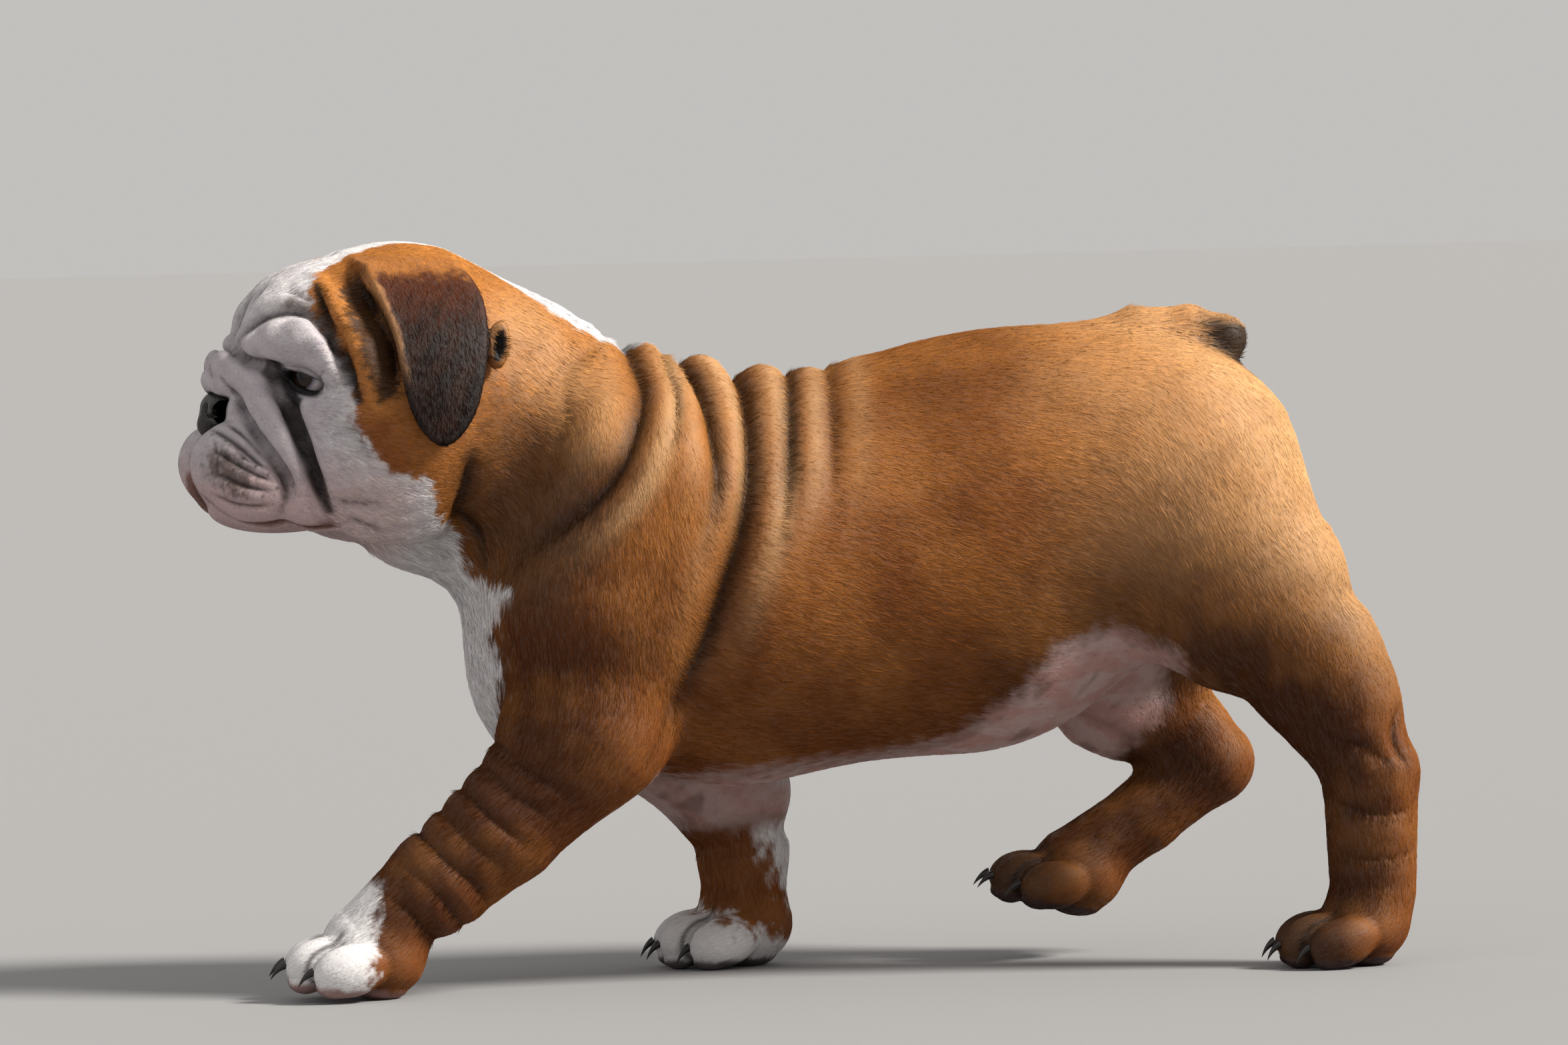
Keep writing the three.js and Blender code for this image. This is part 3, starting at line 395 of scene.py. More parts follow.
# Each fold: its route, its depth and its width
FLANK_FOLDS = [
    ([(-66, 262), (-65, 236), (-74, 211), (-85, 196), (-96, 186), (-119, 169), (-124, 161)], 6, 7),
    ([(-46, 254), (-41, 238), (-37, 217), (-37, 201), (-41, 186), (-46, 172)], 9, 6),
    ([(-24, 250), (-23, 234), (-22, 217), (-24, 197), (-29, 177), (-36, 159), (-45, 134), (-59, 106),
      (-67, 90)], 9, 7),
    ([(-4, 248), (-7, 224), (-8, 208), (-12, 188), (-18, 169)], 5.5, 5.5),
    ([(10, 248), (9, 218), (7, 196), (4, 180)], 3, 6),
    ([(-54, 250), (-52, 235), (-54, 219), (-60, 202)], 3, 3.5),
    ([(-96, 240), (-98, 222), (-104, 204), (-110, 190)], 1.2, 6),
]
FACE_FOLDS = [
    # Behind and before the nose roll
    ([(-213, 24, 247), (-208.5, 28, 241), (-207, 31, 234.5), (-205.2, 34, 228), (-202.6, 36, 220),
      (-200, 38, 212), (-197.7, 40, 205.7), (-195.5, 41, 199), (-194.3, 41.5, 193)], 8, 3),
    ([(-228, 15, 238), (-226.6, 18, 236), (-223.5, 22, 229.5), (-220, 25, 223), (-216.3, 28, 216),
      (-212.6, 31, 208.5), (-209.5, 33, 200.7), (-207, 34, 192.8)], 5.5, 2.4),
    # The lip line
    ([(-243, 5, 199), (-239, 13, 190), (-230, 23, 184), (-217, 31, 182), (-205, 36, 182.5),
      (-195, 39, 185)], 4, 2.2),
    # Under the brow, to both corners of the eye
    ([(-221, 10, 250), (-215, 22, 248.5), (-209, 32, 248)], 4, 2.2),
    ([(-201, 34, 284), (-199, 41, 272), (-196.5, 47, 262), (-192, 52, 252), (-188, 54, 243),
      (-186, 56, 234)], 5, 2.8),
    ([(-184, 42, 285), (-178, 49, 275), (-173, 54, 264), (-171, 57, 250), (-172, 60, 238)], 6, 4),
    # Wrinkles of the lip pad, of the corner of the mouth, of the brow and of the cheek
    ([(-231.5, 19, 225.5), (-226.8, 24, 221.8), (-221.7, 29, 217), (-218, 32, 211)], 2.6, 1.7),
    ([(-236, 14, 221.5), (-233.8, 19, 220.6), (-229.5, 24, 217.2), (-223.9, 30, 213),
      (-218.8, 33, 206.7)], 3, 1.7),
    ([(-235.5, 20, 214.2), (-230.9, 25, 210.8), (-225.8, 31, 207.1), (-219.6, 34, 203.1),
      (-216.3, 36, 202.5)], 3, 1.6),
    ([(-235.3, 22, 206.9), (-230.7, 28, 203.3), (-224.3, 33, 199.8), (-217.5, 36, 199.2)], 2.8, 1.6),
    ([(-196, 44, 197), (-189, 46, 196), (-181, 47, 197), (-174, 48, 200)], 1.7, 3.2),
    ([(-187, 42, 193), (-181, 43, 190), (-176, 44, 186)], 1.6, 3.2),
    ([(-223, 8, 257), (-220, 15, 262), (-213, 24, 268), (-204, 34, 269), (-195, 42, 264), (-189, 49, 254),
      (-187, 53, 246)], 4, 2.8),
    ([(-229, 2, 253.5), (-225, 9, 252.5), (-219, 15, 249.5)], 3.5, 2.2),
    ([(-190, 50, 226), (-184, 53, 219), (-180, 53, 210)], 1.4, 4),
    ([(-187, 30, 182), (-176, 32, 175), (-160, 34, 166)], 3, 3.5),
    ([(-212, 24, 282), (-204, 31, 277), (-198, 36, 271)], 1.6, 3),
    ([(-226, 4, 262), (-221, 8, 272), (-214, 12, 282)], 2.4, 3),
    # Low on the lip pad, small ones across it, and the crease behind the cheek
    ([(-236.4, 20, 199.9), (-231.2, 27, 196), (-224.3, 32, 194.1), (-216.9, 35, 194.4)], 2.2, 1.6),
    ([(-229, 25, 214), (-226, 27, 210.5), (-222.5, 31, 209.5)], 1.6, 1.3),
    ([(-236, 20, 218), (-234, 22, 211), (-235, 22, 205)], 1.4, 1.4),
    ([(-141, 60, 212), (-143, 58, 205), (-144, 54, 194), (-145, 50, 181), (-143, 44, 168)], 4, 6),
]
MIDDLE_FOLDS = [
    ([(-238, 0, 226), (-243, 0, 219), (-243, 0, 208), (-240, 0, 198)], 5, 2.4),
    ([(-226, 0, 254), (-221, 0, 266), (-205, 0, 284), (-180, 0, 295)], 4, 6),
]
# Each fold of the legs: its side, its depth and its route
LEG_FOLDS = [
    (-1, 1.6, [(-131, 102), (-108, 84), (-98, 74)]), (-1, 1.1, [(-137, 92), (-113, 74), (-103, 64)]),
    (-1, 1.8, [(-144, 83), (-122, 64), (-112, 54)]), (-1, 1.2, [(-151, 75), (-131, 56), (-121, 46)]),
    (-1, 1.8, [(-160, 66), (-140, 48), (-130, 34)]), (-1, 1.3, [(-168, 56), (-150, 40), (-140, 26)]),
    (-1, 1.6, [(-176, 46), (-160, 32), (-150, 20)]), (-1, 1.2, [(198, 92), (214, 88), (228, 78)]),
    (-1, 1.6, [(203, 66), (220, 60), (236, 62)]), (-1, 1.2, [(203, 46), (220, 42), (238, 46)]),
    (-1, 2.2, [(232, 104), (227, 92), (233, 78)]), (1, 1.8, [(-44, 56), (-22, 50), (-4, 52)]),
    (1, 1.4, [(-46, 72), (-24, 66), (-2, 70)]), (1, 2, [(150, 62), (158, 72), (166, 84)]),
    (1, 1.6, [(112, 72), (126, 76), (142, 88)]),
]


def all_creases():
    made = []
    for line, depth, width in FLANK_FOLDS:
        left, right = on_flank(line, -1), on_flank(line[1:], 1)
        made.append(crease([*right[::-1], *left], depth, width))
    for line, depth, width in FACE_FOLDS:
        made += pair(lambda s: crease(at(HEAD, [(x, s * y, z) for x, y, z in line]), depth, width))
    for line, depth, width in MIDDLE_FOLDS:
        made.append(crease(at(HEAD, line), depth, width))
    for s, depth, line in LEG_FOLDS:
        made.append(crease(on_flank(line, s), depth, 3))
    return made


CREASES = all_creases()


# Ears and eyes
def outline_depth(points, outline):
    """Signed distance in a plane, positive inside the outline."""
    x, y = points.T
    best = np.full(len(points), 1e9)
    inside = np.zeros(len(points), bool)
    ring = np.array(outline, float)
    for a, b in zip(ring, np.roll(ring, -1, 0)):
        axis = b - a
        t = np.clip(((x - a[0]) * axis[0] + (y - a[1]) * axis[1]) / max(axis @ axis, 1e-9), 0, 1)
        best = np.minimum(best, np.hypot(x - a[0] - t * axis[0], y - a[1] - t * axis[1]))
        cross = (a[1] > y) != (b[1] > y)
        inside ^= cross & (x < a[0] + (y - a[1]) * axis[0] / (axis[1] if axis[1] else 1e-9))
    return np.where(inside, best, -best)


EAR = [(-180, 288), (-178.5, 281), (-175.5, 272), (-172.5, 259), (-171, 245), (-169.2, 234), (-166, 225),
       (-161, 218), (-155, 215.5), (-148.5, 219.5), (-142.5, 228), (-139, 238), (-136, 250), (-134.4, 262),
       (-134.5, 273), (-138, 282), (-143, 288)]
EAR_EDGE = curve(EAR, 3.5)


def ear_distance(p, s):
    """The hanging flap: a rounded plate on a bent sheet, thickening up to its root in the skull."""
    q = into(HEAD, p)
    x, z = q[:, 0], q[:, 2]
    edge = -outline_depth(q[:, [0, 2]], EAR_EDGE)
    w = np.clip((z - 214) / 72, 0, 1.25)
    hang = 69.5 - 36 * w**2.8 - 0.006 * (x + 154) ** 2 * (1 - 0.5 * w)
    hang += 2.4 * np.exp(-(((x + 172 + 5 * w) / 4.5) ** 2)) * np.clip(w * 2, 0, 1)
    tilt = np.sqrt(1 + (1.4 * w**1.8) ** 2)
    off = (s * q[:, 1] - hang) / tilt
    root = 14 * np.clip((z - 256) / 16, 0, 1) ** 1.5
    off = np.where(off < 0, np.minimum(off + root, 0), off)
    return np.hypot(np.maximum(edge + EAR_HALF, 0), off) - EAR_HALF


def nearest_ear(p):
    return np.minimum(ear_distance(p, -1), ear_distance(p, 1))


def ear_pocket(s, out, radii):
    """The small pocket of skin behind an ear."""
    return ball(HEAD, (-131, s * out, 254), radii, 2, (8, 0, 0))


def eye_frame(s, turn=EYE_TURN, fall=0):
    return HEAD @ place((EYE[0], s * EYE[1], EYE[2]), -s * turn, fall)


def along_lids(e, s):
    """How far points of an eye's frame lie along its slanting opening, and across it."""
    slant = math.radians(-EYE_SLANT * s)
    return (e[:, 1] * math.cos(slant) + e[:, 2] * math.sin(slant),
            e[:, 2] * math.cos(slant) - e[:, 1] * math.sin(slant))


def lid_distance(q):
    """How far points of the head are from the middle of the nearer lids."""
    return np.minimum(length_of(q - (-202, -36, 243)), length_of(q - (-202, 36, 243)))


def carve(d, hole, blend):
    return -melt(-d, hole, blend)


def skin(p):
    """The field of the skin before its folds: flesh, lids, ears and the hollow behind the nose."""
    d = plain(p)
    head = np.flatnonzero((np.abs(d) < 14) & (p[:, 0] < -175))
    if len(head):
        h, hp = d[head], p[head]
        for s in (-1, 1):
            e = into(eye_frame(s), hp)
            r = length_of(e)
            # The hollow of the eye, then the lids that hug the ball, then the opening between them
            orbit = length_of((e - (-15, -s * 2, -3)) / (7, 10, 5)) * 6 - 6
            h = carve(h, orbit, 3)
            h = melt(h, r - (EYE_RADIUS + 1.2 + COAT_DEPTH), 2.5)
            a, b = along_lids(e, s)
            k = np.clip(1 - (a / (OPENING[0] / 2)) ** 2, 0, 1)
            gap = np.maximum(b - 0.1 - 0.12 * OPENING[1] * k, -b - 0.1 - 0.78 * OPENING[1] * k**0.7)
            gap = np.maximum(np.maximum(gap, np.abs(a) - OPENING[0] / 2), e[:, 0] + 2)
            h = carve(h, gap, 1.0)
        nose = union(NOSE, hp)
        h = carve(h, nose + 1.6, 1)
        d[head] = h
    d += COAT_DEPTH
    head = np.flatnonzero((p[:, 0] < -110) & (p[:, 0] > -200) & (p[:, 2] > 200))
    if len(head):
        for s in (-1, 1):
            ear = ear_distance(p[head], s)
            up = np.clip((p[head, 2] - 266) / 14, 0, 1)
            d[head] = melt(d[head], ear, 0.5 + 6 * up)
            d[head] = melt(d[head], mass_distance(ear_pocket(s, 59, (4.6, 4, 9.5)), p[head]), 1.5)
            d[head] = carve(d[head], mass_distance(ear_pocket(s, 64, (2.3, 5, 6.8)), p[head]), 0.8)
    return d


# Meshing
def lattice(field, low, high, step, margin):
    """Field values on a lattice, worked out only near the surface."""
    low, high = np.array(low, float), np.array(high, float)
    size = step * 8
    n = np.ceil((high - low) / size).astype(int)
    grid = np.indices(n).reshape(3, -1).T
    values = field(low + (grid + 0.5) * size).reshape(n)
    for _ in range(3):
        size /= 2
        values = values.repeat(2, 0).repeat(2, 1).repeat(2, 2)
        todo = np.argwhere(np.abs(values) < size * 2 + margin)
        values[tuple(todo.T)] = field(low + (todo + 0.5) * size)
        margin = margin / 2
    return values, low + 0.5 * size


def surface_net(values, low, step):
    inside = values < 0
    corners = [np.array(c) for c in np.ndindex(2, 2, 2)]
    shape = values.shape
    count = sum(inside[tuple(slice(k, n - 1 + k) for k, n in zip(c, shape))].astype(int) for c in corners)
    cells = np.argwhere((count > 0) & (count < 8))
    index = np.full(values.shape, -1)
    index[tuple(cells.T)] = np.arange(len(cells))
    total, hits = np.zeros((len(cells), 3)), np.zeros(len(cells))
    for a in corners:
        for q in range(3):
            if a[q]:
                continue
            b = a + np.eye(3, dtype=int)[q]
            va, vb = values[tuple((cells + a).T)], values[tuple((cells + b).T)]
            cross = (va < 0) != (vb < 0)
            t = np.where(cross, va / np.where(cross, va - vb, 1), 0)
            total += np.where(cross[:, None], a + t[:, None] * (b - a), 0)
            hits += cross
    verts = low + step * (cells + total / hits[:, None])
    quads = []
    for q in range(3):
        u, v = (q + 1) % 3, (q + 2) % 3
        other = [int(w != q) for w in range(3)]
        near = inside[tuple(slice(k, n - 1) for k, n in zip(other, shape))]
        far = inside[tuple(slice(1, n - k) for k, n in zip(other, shape))]
        edges = np.argwhere(near != far) + other
        eu, ev = np.eye(3, dtype=int)[u], np.eye(3, dtype=int)[v]
        ring = np.stack([index[tuple((edges - k).T)] for k in (eu + ev, ev, 0 * eu, eu)], 1)
        flip = ~inside[tuple(edges.T)]
        ring[flip] = ring[flip][:, ::-1]
        quads.append(ring)
    quads = np.vstack(quads)
    quads = quads[(quads >= 0).all(1)]
    first, second = (length_of(verts[quads[:, k]] - verts[quads[:, k + 2]]) for k in (0, 1))
    shorter = (first < second)[:, None]
    tris = np.where(shorter, quads[:, [0, 1, 2, 0, 2, 3]], quads[:, [0, 1, 3, 1, 2, 3]])
    return verts, tris.reshape(-1, 3)


def divide(verts, tris, wanted):
    """Splits every edge whose middle is wanted, with no cracks beside it."""
    pairs = np.sort(tris[:, [0, 1, 1, 2, 2, 0]].reshape(-1, 2), 1)
    edges, which = np.unique(pairs, axis=0, return_inverse=True)
    which = which.reshape(-1, 3)
    middle = verts[edges].mean(1)
    marked = wanted(middle)
    new = np.full(len(edges), -1)
    new[marked] = len(verts) + np.arange(marked.sum())
    m = new[which]
    count = (m >= 0).sum(1)
    turn = np.zeros(len(tris), int)
    for k in range(3):
        turn[(count == 1) & (m[:, k] >= 0)] = k
        turn[(count == 2) & (m[:, k] < 0)] = (k + 1) % 3
    order = (np.arange(3) + turn[:, None]) % 3
    t = np.take_along_axis(tris, order, 1)
    m = np.take_along_axis(m, order, 1)
    a, b, c = t.T
    x, y, z = m.T
    one, two, three = count == 1, count == 2, count == 3

    def rows(mask, *cols):
        return np.stack([v[mask] for v in cols], 1)

    out = [t[count == 0], rows(one, a, x, c), rows(one, x, b, c), rows(two, x, b, y), rows(two, a, x, y),
           rows(two, a, y, c), rows(three, a, x, z), rows(three, x, b, y), rows(three, z, y, c),
           rows(three, x, y, z)]
    return np.vstack([verts, middle[marked]]), np.vstack(out)


def vertex_normals(verts, tris):
    a, b, c = (verts[tris[:, k]] for k in range(3))
    n = np.cross(b - a, c - a)
    out = np.zeros_like(verts)
    for k in range(3):
        for q in range(3):
            out[:, q] += np.bincount(tris[:, k], n[:, q], len(verts))
    return out / np.maximum(length_of(out), 1e-9)[:, None]


def smoothed(values, tris, rounds):
    for _ in range(rounds):
        total, count = np.zeros_like(values), np.zeros(len(values))
        for a, b in ((0, 1), (1, 2), (2, 0)):
            for i, j in ((tris[:, a], tris[:, b]), (tris[:, b], tris[:, a])):
                for q in range(values.shape[1]):
                    total[:, q] += np.bincount(i, values[j, q], len(values))
                count += np.bincount(i, minlength=len(values))
        values = 0.4 * values + 0.6 * total / np.maximum(count, 1)[:, None]
    return values


# The solids stand centred on their own box, so the eye's place gives the shift between the frames
EYE_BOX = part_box("eye_left")
SHIFT = np.array((EYE_BOX[0] + EYE_BOX[1]) / 2) * 1000 - at(HEAD, (EYE[0], -EYE[1], EYE[2]))


def to_frame(p):
    return (p + SHIFT) / 1000


def object_from(name, verts, faces, made, colours=None, uv=None, smooth=True, facing=None):
    """A mesh object, with a colour, a place on the unwrap and a normal for each point."""
    mesh = bpy.data.meshes.new(name)
    verts, faces = np.asarray(verts, np.float32), np.asarray(faces, np.int32)
    mesh.vertices.add(len(verts))
    mesh.vertices.foreach_set("co", verts.ravel())
    mesh.loops.add(faces.size)
    mesh.loops.foreach_set("vertex_index", faces.ravel())
    mesh.polygons.add(len(faces))
    mesh.polygons.foreach_set("loop_start", np.arange(len(faces), dtype=np.int32) * faces.shape[1])
    if colours is not None:
        layer = mesh.color_attributes.new("Col", "FLOAT_COLOR", "POINT")
        full = np.ones((len(verts), 4), np.float32)
        full[:, : colours.shape[1]] = colours
        layer.data.foreach_set("color", full.ravel())
    if uv is not None:
        layer = mesh.uv_layers.new(name="OFBake")
        layer.data.foreach_set("uv", np.asarray(uv, np.float32)[faces.ravel()].ravel())
    mesh.update(calc_edges=True)
    mesh.validate()
    if smooth:
        mesh.polygons.foreach_set("use_smooth", np.ones(len(mesh.polygons), bool))
    if facing is not None:
        mesh.normals_split_custom_set_from_vertices(facing)
    mesh.materials.append(made)
    thing = bpy.data.objects.new(name, mesh)
    bpy.context.collection.objects.link(thing)
    return thing


# Markings, with painted shade and painted highlights among them
def waves(p, scale, seed=0):
    """Smooth cheap noise in -1..1."""
    total = np.zeros(len(p))
    pick = np.random.default_rng(100 + seed)
    for octave in range(3):
        for _ in range(4):
            k = pick.normal(size=3)
            k *= (2 ** octave) / (scale * np.linalg.norm(k))
            total += np.sin(6.283 * (p @ k) + pick.uniform(0, 6.283)) / (1.6 ** octave)
    return np.clip(total / 4, -1, 1)


def step(value, soft):
    """1 where the value is well above 0, and 0 well below."""
    t = np.clip(value / soft * 0.5 + 0.5, 0, 1)
    return t * t * (3 - 2 * t)


def line_distance(points, line, reach=30):
    """How far the points within reach are from a path."""
    pts = np.array(line, float)
    best = np.full(len(points), 1e9)
    near = np.flatnonzero(((points > pts.min(0) - reach) & (points < pts.max(0) + reach)).all(1))
    own = points[near]
    for a, b in zip(pts, pts[1:]):
        axis = b - a
        t = np.clip((own - a) @ axis / (axis @ axis), 0, 1)
        best[near] = np.minimum(best[near], length_of(own - a - t[:, None] * axis))
    return best


# Outlines seen from the side, as (x, z), on both sides of the animal
WHITE_FACE = [(-260, 320), (-165, 300), (-182, 292), (-191, 286), (-195, 277), (-193, 270), (-187, 260),
              (-184, 251), (-179, 241), (-179, 228), (-175, 218), (-164, 206), (-149, 202), (-148, 190),
              (-138, 179), (-136, 168), (-127, 160), (-120, 158), (-127, 141), (-123, 130), (-127, 108),
              (-140, 96), (-260, 96)]
# The valley before each ear, painted dark: dark coat and painted shade
VALLEY_SHADE_AND_DARK_COAT = [(-183, 284), (-172, 285), (-162, 254), (-160, 236), (-168, 231), (-174, 250), (-180, 268)]
SABLE_NECK = [(-133, 219), (-122, 238), (-98, 226), (-84, 205), (-88, 170), (-107, 152), (-124, 158),
              (-137, 175), (-138, 200)]
FLANK_SHADE = [(-8, 236), (70, 240), (88, 206), (60, 166), (16, 158), (-10, 186)]
BELLY = [(-90, 70), (-68, 87), (-53, 82), (-25, 85), (28, 90), (56, 96), (81, 114), (94, 131), (119, 139),
         (146, 126), (150, 100), (110, 60), (-60, 55)]
NAPE = [(-112, 258), (-100, 240), (-88, 222)]
# Painted shade along the front of the shoulder
SHOULDER_SHADE = [(-104, 176), (-112, 140)]

# Lines on the left half of the head, as (x, y outwards, z), mirrored on the other
EAR_RIDGE = [(-195, 26, 280), (-190.5, 42, 268), (-186, 51, 258), (-182, 57, 246), (-178, 58, 232)]
EYE_CORNER = [(-215, 22, 250), (-207, 31, 234)]
EYE_CORNER_SIDE = [(-215.5, 251), (-211, 243), (-207, 234), (-205.5, 229)]
SMUDGE = [(-198, 38, 242), (-187, 50, 241)]
BROW_PATCH = [(-206, 28, 272), (-196, 38, 266)]
LIP_RIM = [(-242, 6, 204), (-240, 12, 198), (-235, 18, 192), (-226, 25, 187), (-214, 31, 185),
           (-204, 36, 184), (-196, 39, 187)]
WHISKER_PIGMENT = [(-235, 24, 210), (-229, 31, 203)]

# Folds of the face painted dark at the bottom, partly painted shade and partly dark skin: which fold, half
# width, colour and strength
FOLD_SHADE_AND_DARK_SKIN = [
    (0, 2.2, SABLE * 0.5, 0.75), (0, 1.1, BLACK, 1), (1, 0.9, SABLE * 0.8, 0.6), (3, 1.0, SABLE, 0.6),
    (4, 2.0, DARK, 0.9), (6, 0.7, SABLE, 0.5), (7, 0.8, SABLE, 0.6), (8, 0.8, SABLE * 0.8, 0.6),
    (9, 0.8, SABLE * 0.8, 0.6), (10, 1.4, LIP, 0.12), (11, 1.4, LIP, 0.12), (2, 1.6, LIP * 0.5, 0.9),
    (12, 0.9, SABLE * 1.3, 0.5), (13, 0.9, SABLE, 0.5), (15, 1.6, LIP, 0.5), (18, 0.7, SABLE, 0.45),
    (19, 0.6, SABLE, 0.5), (20, 0.7, SABLE, 0.5), (21, 2.6, SABLE, 0.6),
]
FACE_PATHS = [[CREASES[len(FLANK_FOLDS) + 2 * k + side]["path"] for side in (0, 1)]
              for k in range(len(FACE_FOLDS))]
# The roots of the whiskers stand in rows under three wrinkles of the lip pad
WHISKERS = np.vstack([curve(FACE_PATHS[k][side][::2], 4.4)[1:] - (0, 0, 2.2)
                      for k in (7, 8, 9) for side in (0, 1)])
WHISKERS += np.random.default_rng(5).normal(0, 0.7, WHISKERS.shape)


def crown_width(q):
    """Half the width of the blaze from the brow to the nape."""
    return np.interp(q[:, 0], [-215, -200, -185, -165, -145, -128, -115, -100, -80, -66, -58],
                     [34, 27, 17, 10, 6.5, 7, 13, 20, 18, 10, -4])


def put(colour, over, amount):
    return colour + (over - colour) * np.clip(amount, 0, 1)[:, None]


def coloured(colour, count):
    return np.tile(colour, (count, 1))


def head_lines(q, s, line):
    """How far points of the head are from a line on its side s."""
    return line_distance(q * (1, s, 1), line)


def ground_colour(p, n, ragged):
    """The fawn of the body, paler on the rump, darker down the legs and shoulder, partly painted shade, with
    painted light on faces turned towards the key light and on the crests of the neck folds.
    """
    side, lateral = p[:, [0, 2]], np.abs(p[:, 1])
    x, z = p[:, 0], p[:, 2]
    c = coloured(FAWN, len(p))
    # Painted light: lighter on faces turned up and, above the legs, on those turned back towards the key
    # light
    c = put(c, BRIGHT, 0.6 * step(n[:, 2] - 0.3 + 0.25 * waves(p, 60, 3), 0.5))
    c = put(c, BRIGHT, 0.55 * step(n[:, 0] - 0.1 + 0.2 * waves(p, 30, 15), 0.4) * step(z - 110, 30))
    c = put(c, BROWN, 0.55 * step(z - 222, 16) * step(x - 12, 20) * step(105 - x, 30))
    c = put(c, CREAM, 0.42 * step(x - 105 + 8 * waves(p, 40, 16), 40) * step(z - 140, 40))
    # Painted highlight on the rump's faces turned back and up towards the key light, over its paler coat
    rump = step(n[:, 0] + 0.3 * n[:, 2] - 0.2, 0.5)
    c = put(c, CREAM, 0.6 * step(x - 150, 50) * rump * step(z - 120, 30))
    c = put(c, CREAM, 0.4 * step(-line_distance(side, NAPE) + 15 + ragged, 10))
    # Painted highlight on the crests of the neck folds
    c = put(c, CREAM, 0.75 * crest_highlight(p) * step(z - 150, 40))
    # Darker down the legs, partly painted shade, and less so on their faces turned back towards the key light
    low = np.where(x < 60, step(163 - z, 44), step(156 - z, 40)) * (1 - 0.6 * step(n[:, 0] - 0.35, 0.4))
    low *= 1 - 0.45 * step(x + 62, 12) * step(70 - x, 12)
    c = put(c, BROWN * np.where(x > 60, 0.5, 0.7)[:, None], 0.92 * low)
    # Painted shade along the front of the shoulder
    c = put(c, BROWN, 0.5 * step(18 - line_distance(side, SHOULDER_SHADE), 26))
    c = put(c, BROWN, 0.4 * step(outline_depth(side, FLANK_SHADE) + 6 * waves(p, 30, 4), 22))
    c = put(c, BROWN, 0.16 * step(waves(p, 34, 5) - 0.3, 0.6))
    c = put(c, BRIGHT, 0.2 * step(waves(p, 50, 6) - 0.2, 0.6))
    sable = step(outline_depth(side, SABLE_NECK) + 3 * ragged, 16) * step(lateral - 25, 10)
    return put(c, SABLE * 1.25, 0.7 * sable)


def white_depth(p, q, ragged):
    """How far inside the white of the face, throat, chest and blaze each point lies."""
    lateral, hq = np.abs(p[:, 1]), np.abs(q[:, 1])
    face = outline_depth(p[:, [0, 2]], WHITE_FACE) + ragged
    # The far brow is fawn
    brow = np.minimum(face, crown_width(q) - 13 - hq)
    face = np.where((q[:, 2] > 262) & (q[:, 1] > 6), brow, face)
    face = np.where(q[:, 2] > 236, np.minimum(face, 62 - hq), face)
    crown = crown_width(q)
    crown -= 21 * step(q[:, 1] - 4, 6) * step(-186 - q[:, 0], 10)
    blaze = np.minimum(crown - hq + 0.8 * ragged, p[:, 2] - 236)
    nape = np.minimum(crown - lateral + 0.8 * ragged, p[:, 2] - 228)
    blaze = np.where(q[:, 0] > -128, nape, blaze)
    chest = np.minimum(34 + 8 * waves(p, 30, 7) - lateral, np.minimum(-84 - p[:, 0] + ragged, 175 - p[:, 2]))
    return np.maximum(np.maximum(np.where(p[:, 2] > 96, face, -9), blaze), chest)


def white_colour(p, q):
    """White, with a lilac and pink tinge where the coat of the muzzle is thin, the lilac over the front of
    the face partly painted shade.
    """
    # Lilac over the front of the face: thin coat, and painted shade
    lilac = step(-190 - q[:, 0] + 6 * waves(p, 12, 8), 18) * (1 - 0.75 * step(q[:, 2] - 264, 12))
    shade = put(coloured(WHITE, len(p)), LILAC, 0.62 * lilac)
    shade = put(shade, PINK, 0.55 * step(207 - q[:, 2] + 5 * waves(p, 14, 9), 14) * step(-165 - q[:, 0], 10))
    return put(shade, LILAC, 0.35 * step(waves(p, 8, 17) + 0.1, 0.8))


def with_ears(c, p, q, white, ragged):
    """Adds the dark ears with a painted highlight along their front edges, the ridge before them, the valley
    before them in dark coat and painted shade, and painted shade in the pockets behind them.
    """
    is_ear = step(1.2 - nearest_ear(p), 0.6) * step(283 - q[:, 2] + ragged, 4)
    mottle = waves(p * (1, 1, 0.35), 5, 10)
    colour = put(coloured(DARK, len(p)), BROWN, 0.75 * step(q[:, 2] - 268 + 7 * mottle, 14))
    colour = put(colour, BROWN, 0.3 * step(waves(p * (1, 1, 0.3), 7, 18) - 0.1, 0.8))
    # A painted highlight along the upper front edge of the ear
    edge_highlight = step(2.2 - outline_depth(q[:, [0, 2]], EAR_EDGE) + waves(p, 6, 11), 1.5)
    colour = put(colour, CREAM, 0.55 * edge_highlight * step(-150 - q[:, 0], 12) * step(q[:, 2] - 246, 10))
    tone = np.interp(q[:, 2], [225, 262, 280], [0.5, 0.62, 1])[:, None] * (1.1, 0.9, 0.75)
    c = put(c, colour * tone, is_ear)
    for s in (-1, 1):
        ridge = step(5 - head_lines(q, s, EAR_RIDGE) + 0.6 * ragged, 3)
        c = put(c, BRIGHT * 1.15, 0.7 * ridge * step(-white, 2))
    # The valley before the ear: dark coat and painted shade
    valley = step(outline_depth(p[:, [0, 2]], VALLEY_SHADE_AND_DARK_COAT) + ragged, 2.5)
    c = put(c, DARK, 0.9 * valley * (1 - is_ear) * step(np.abs(q[:, 1]) - 30, 6))
    for s in (-1, 1):
        # Painted shade down in the pocket
        c = put(c, BLACK * 1.6, step(-mass_distance(ear_pocket(s, 64, (3, 6, 7.4)), p), 0.8))
    return c


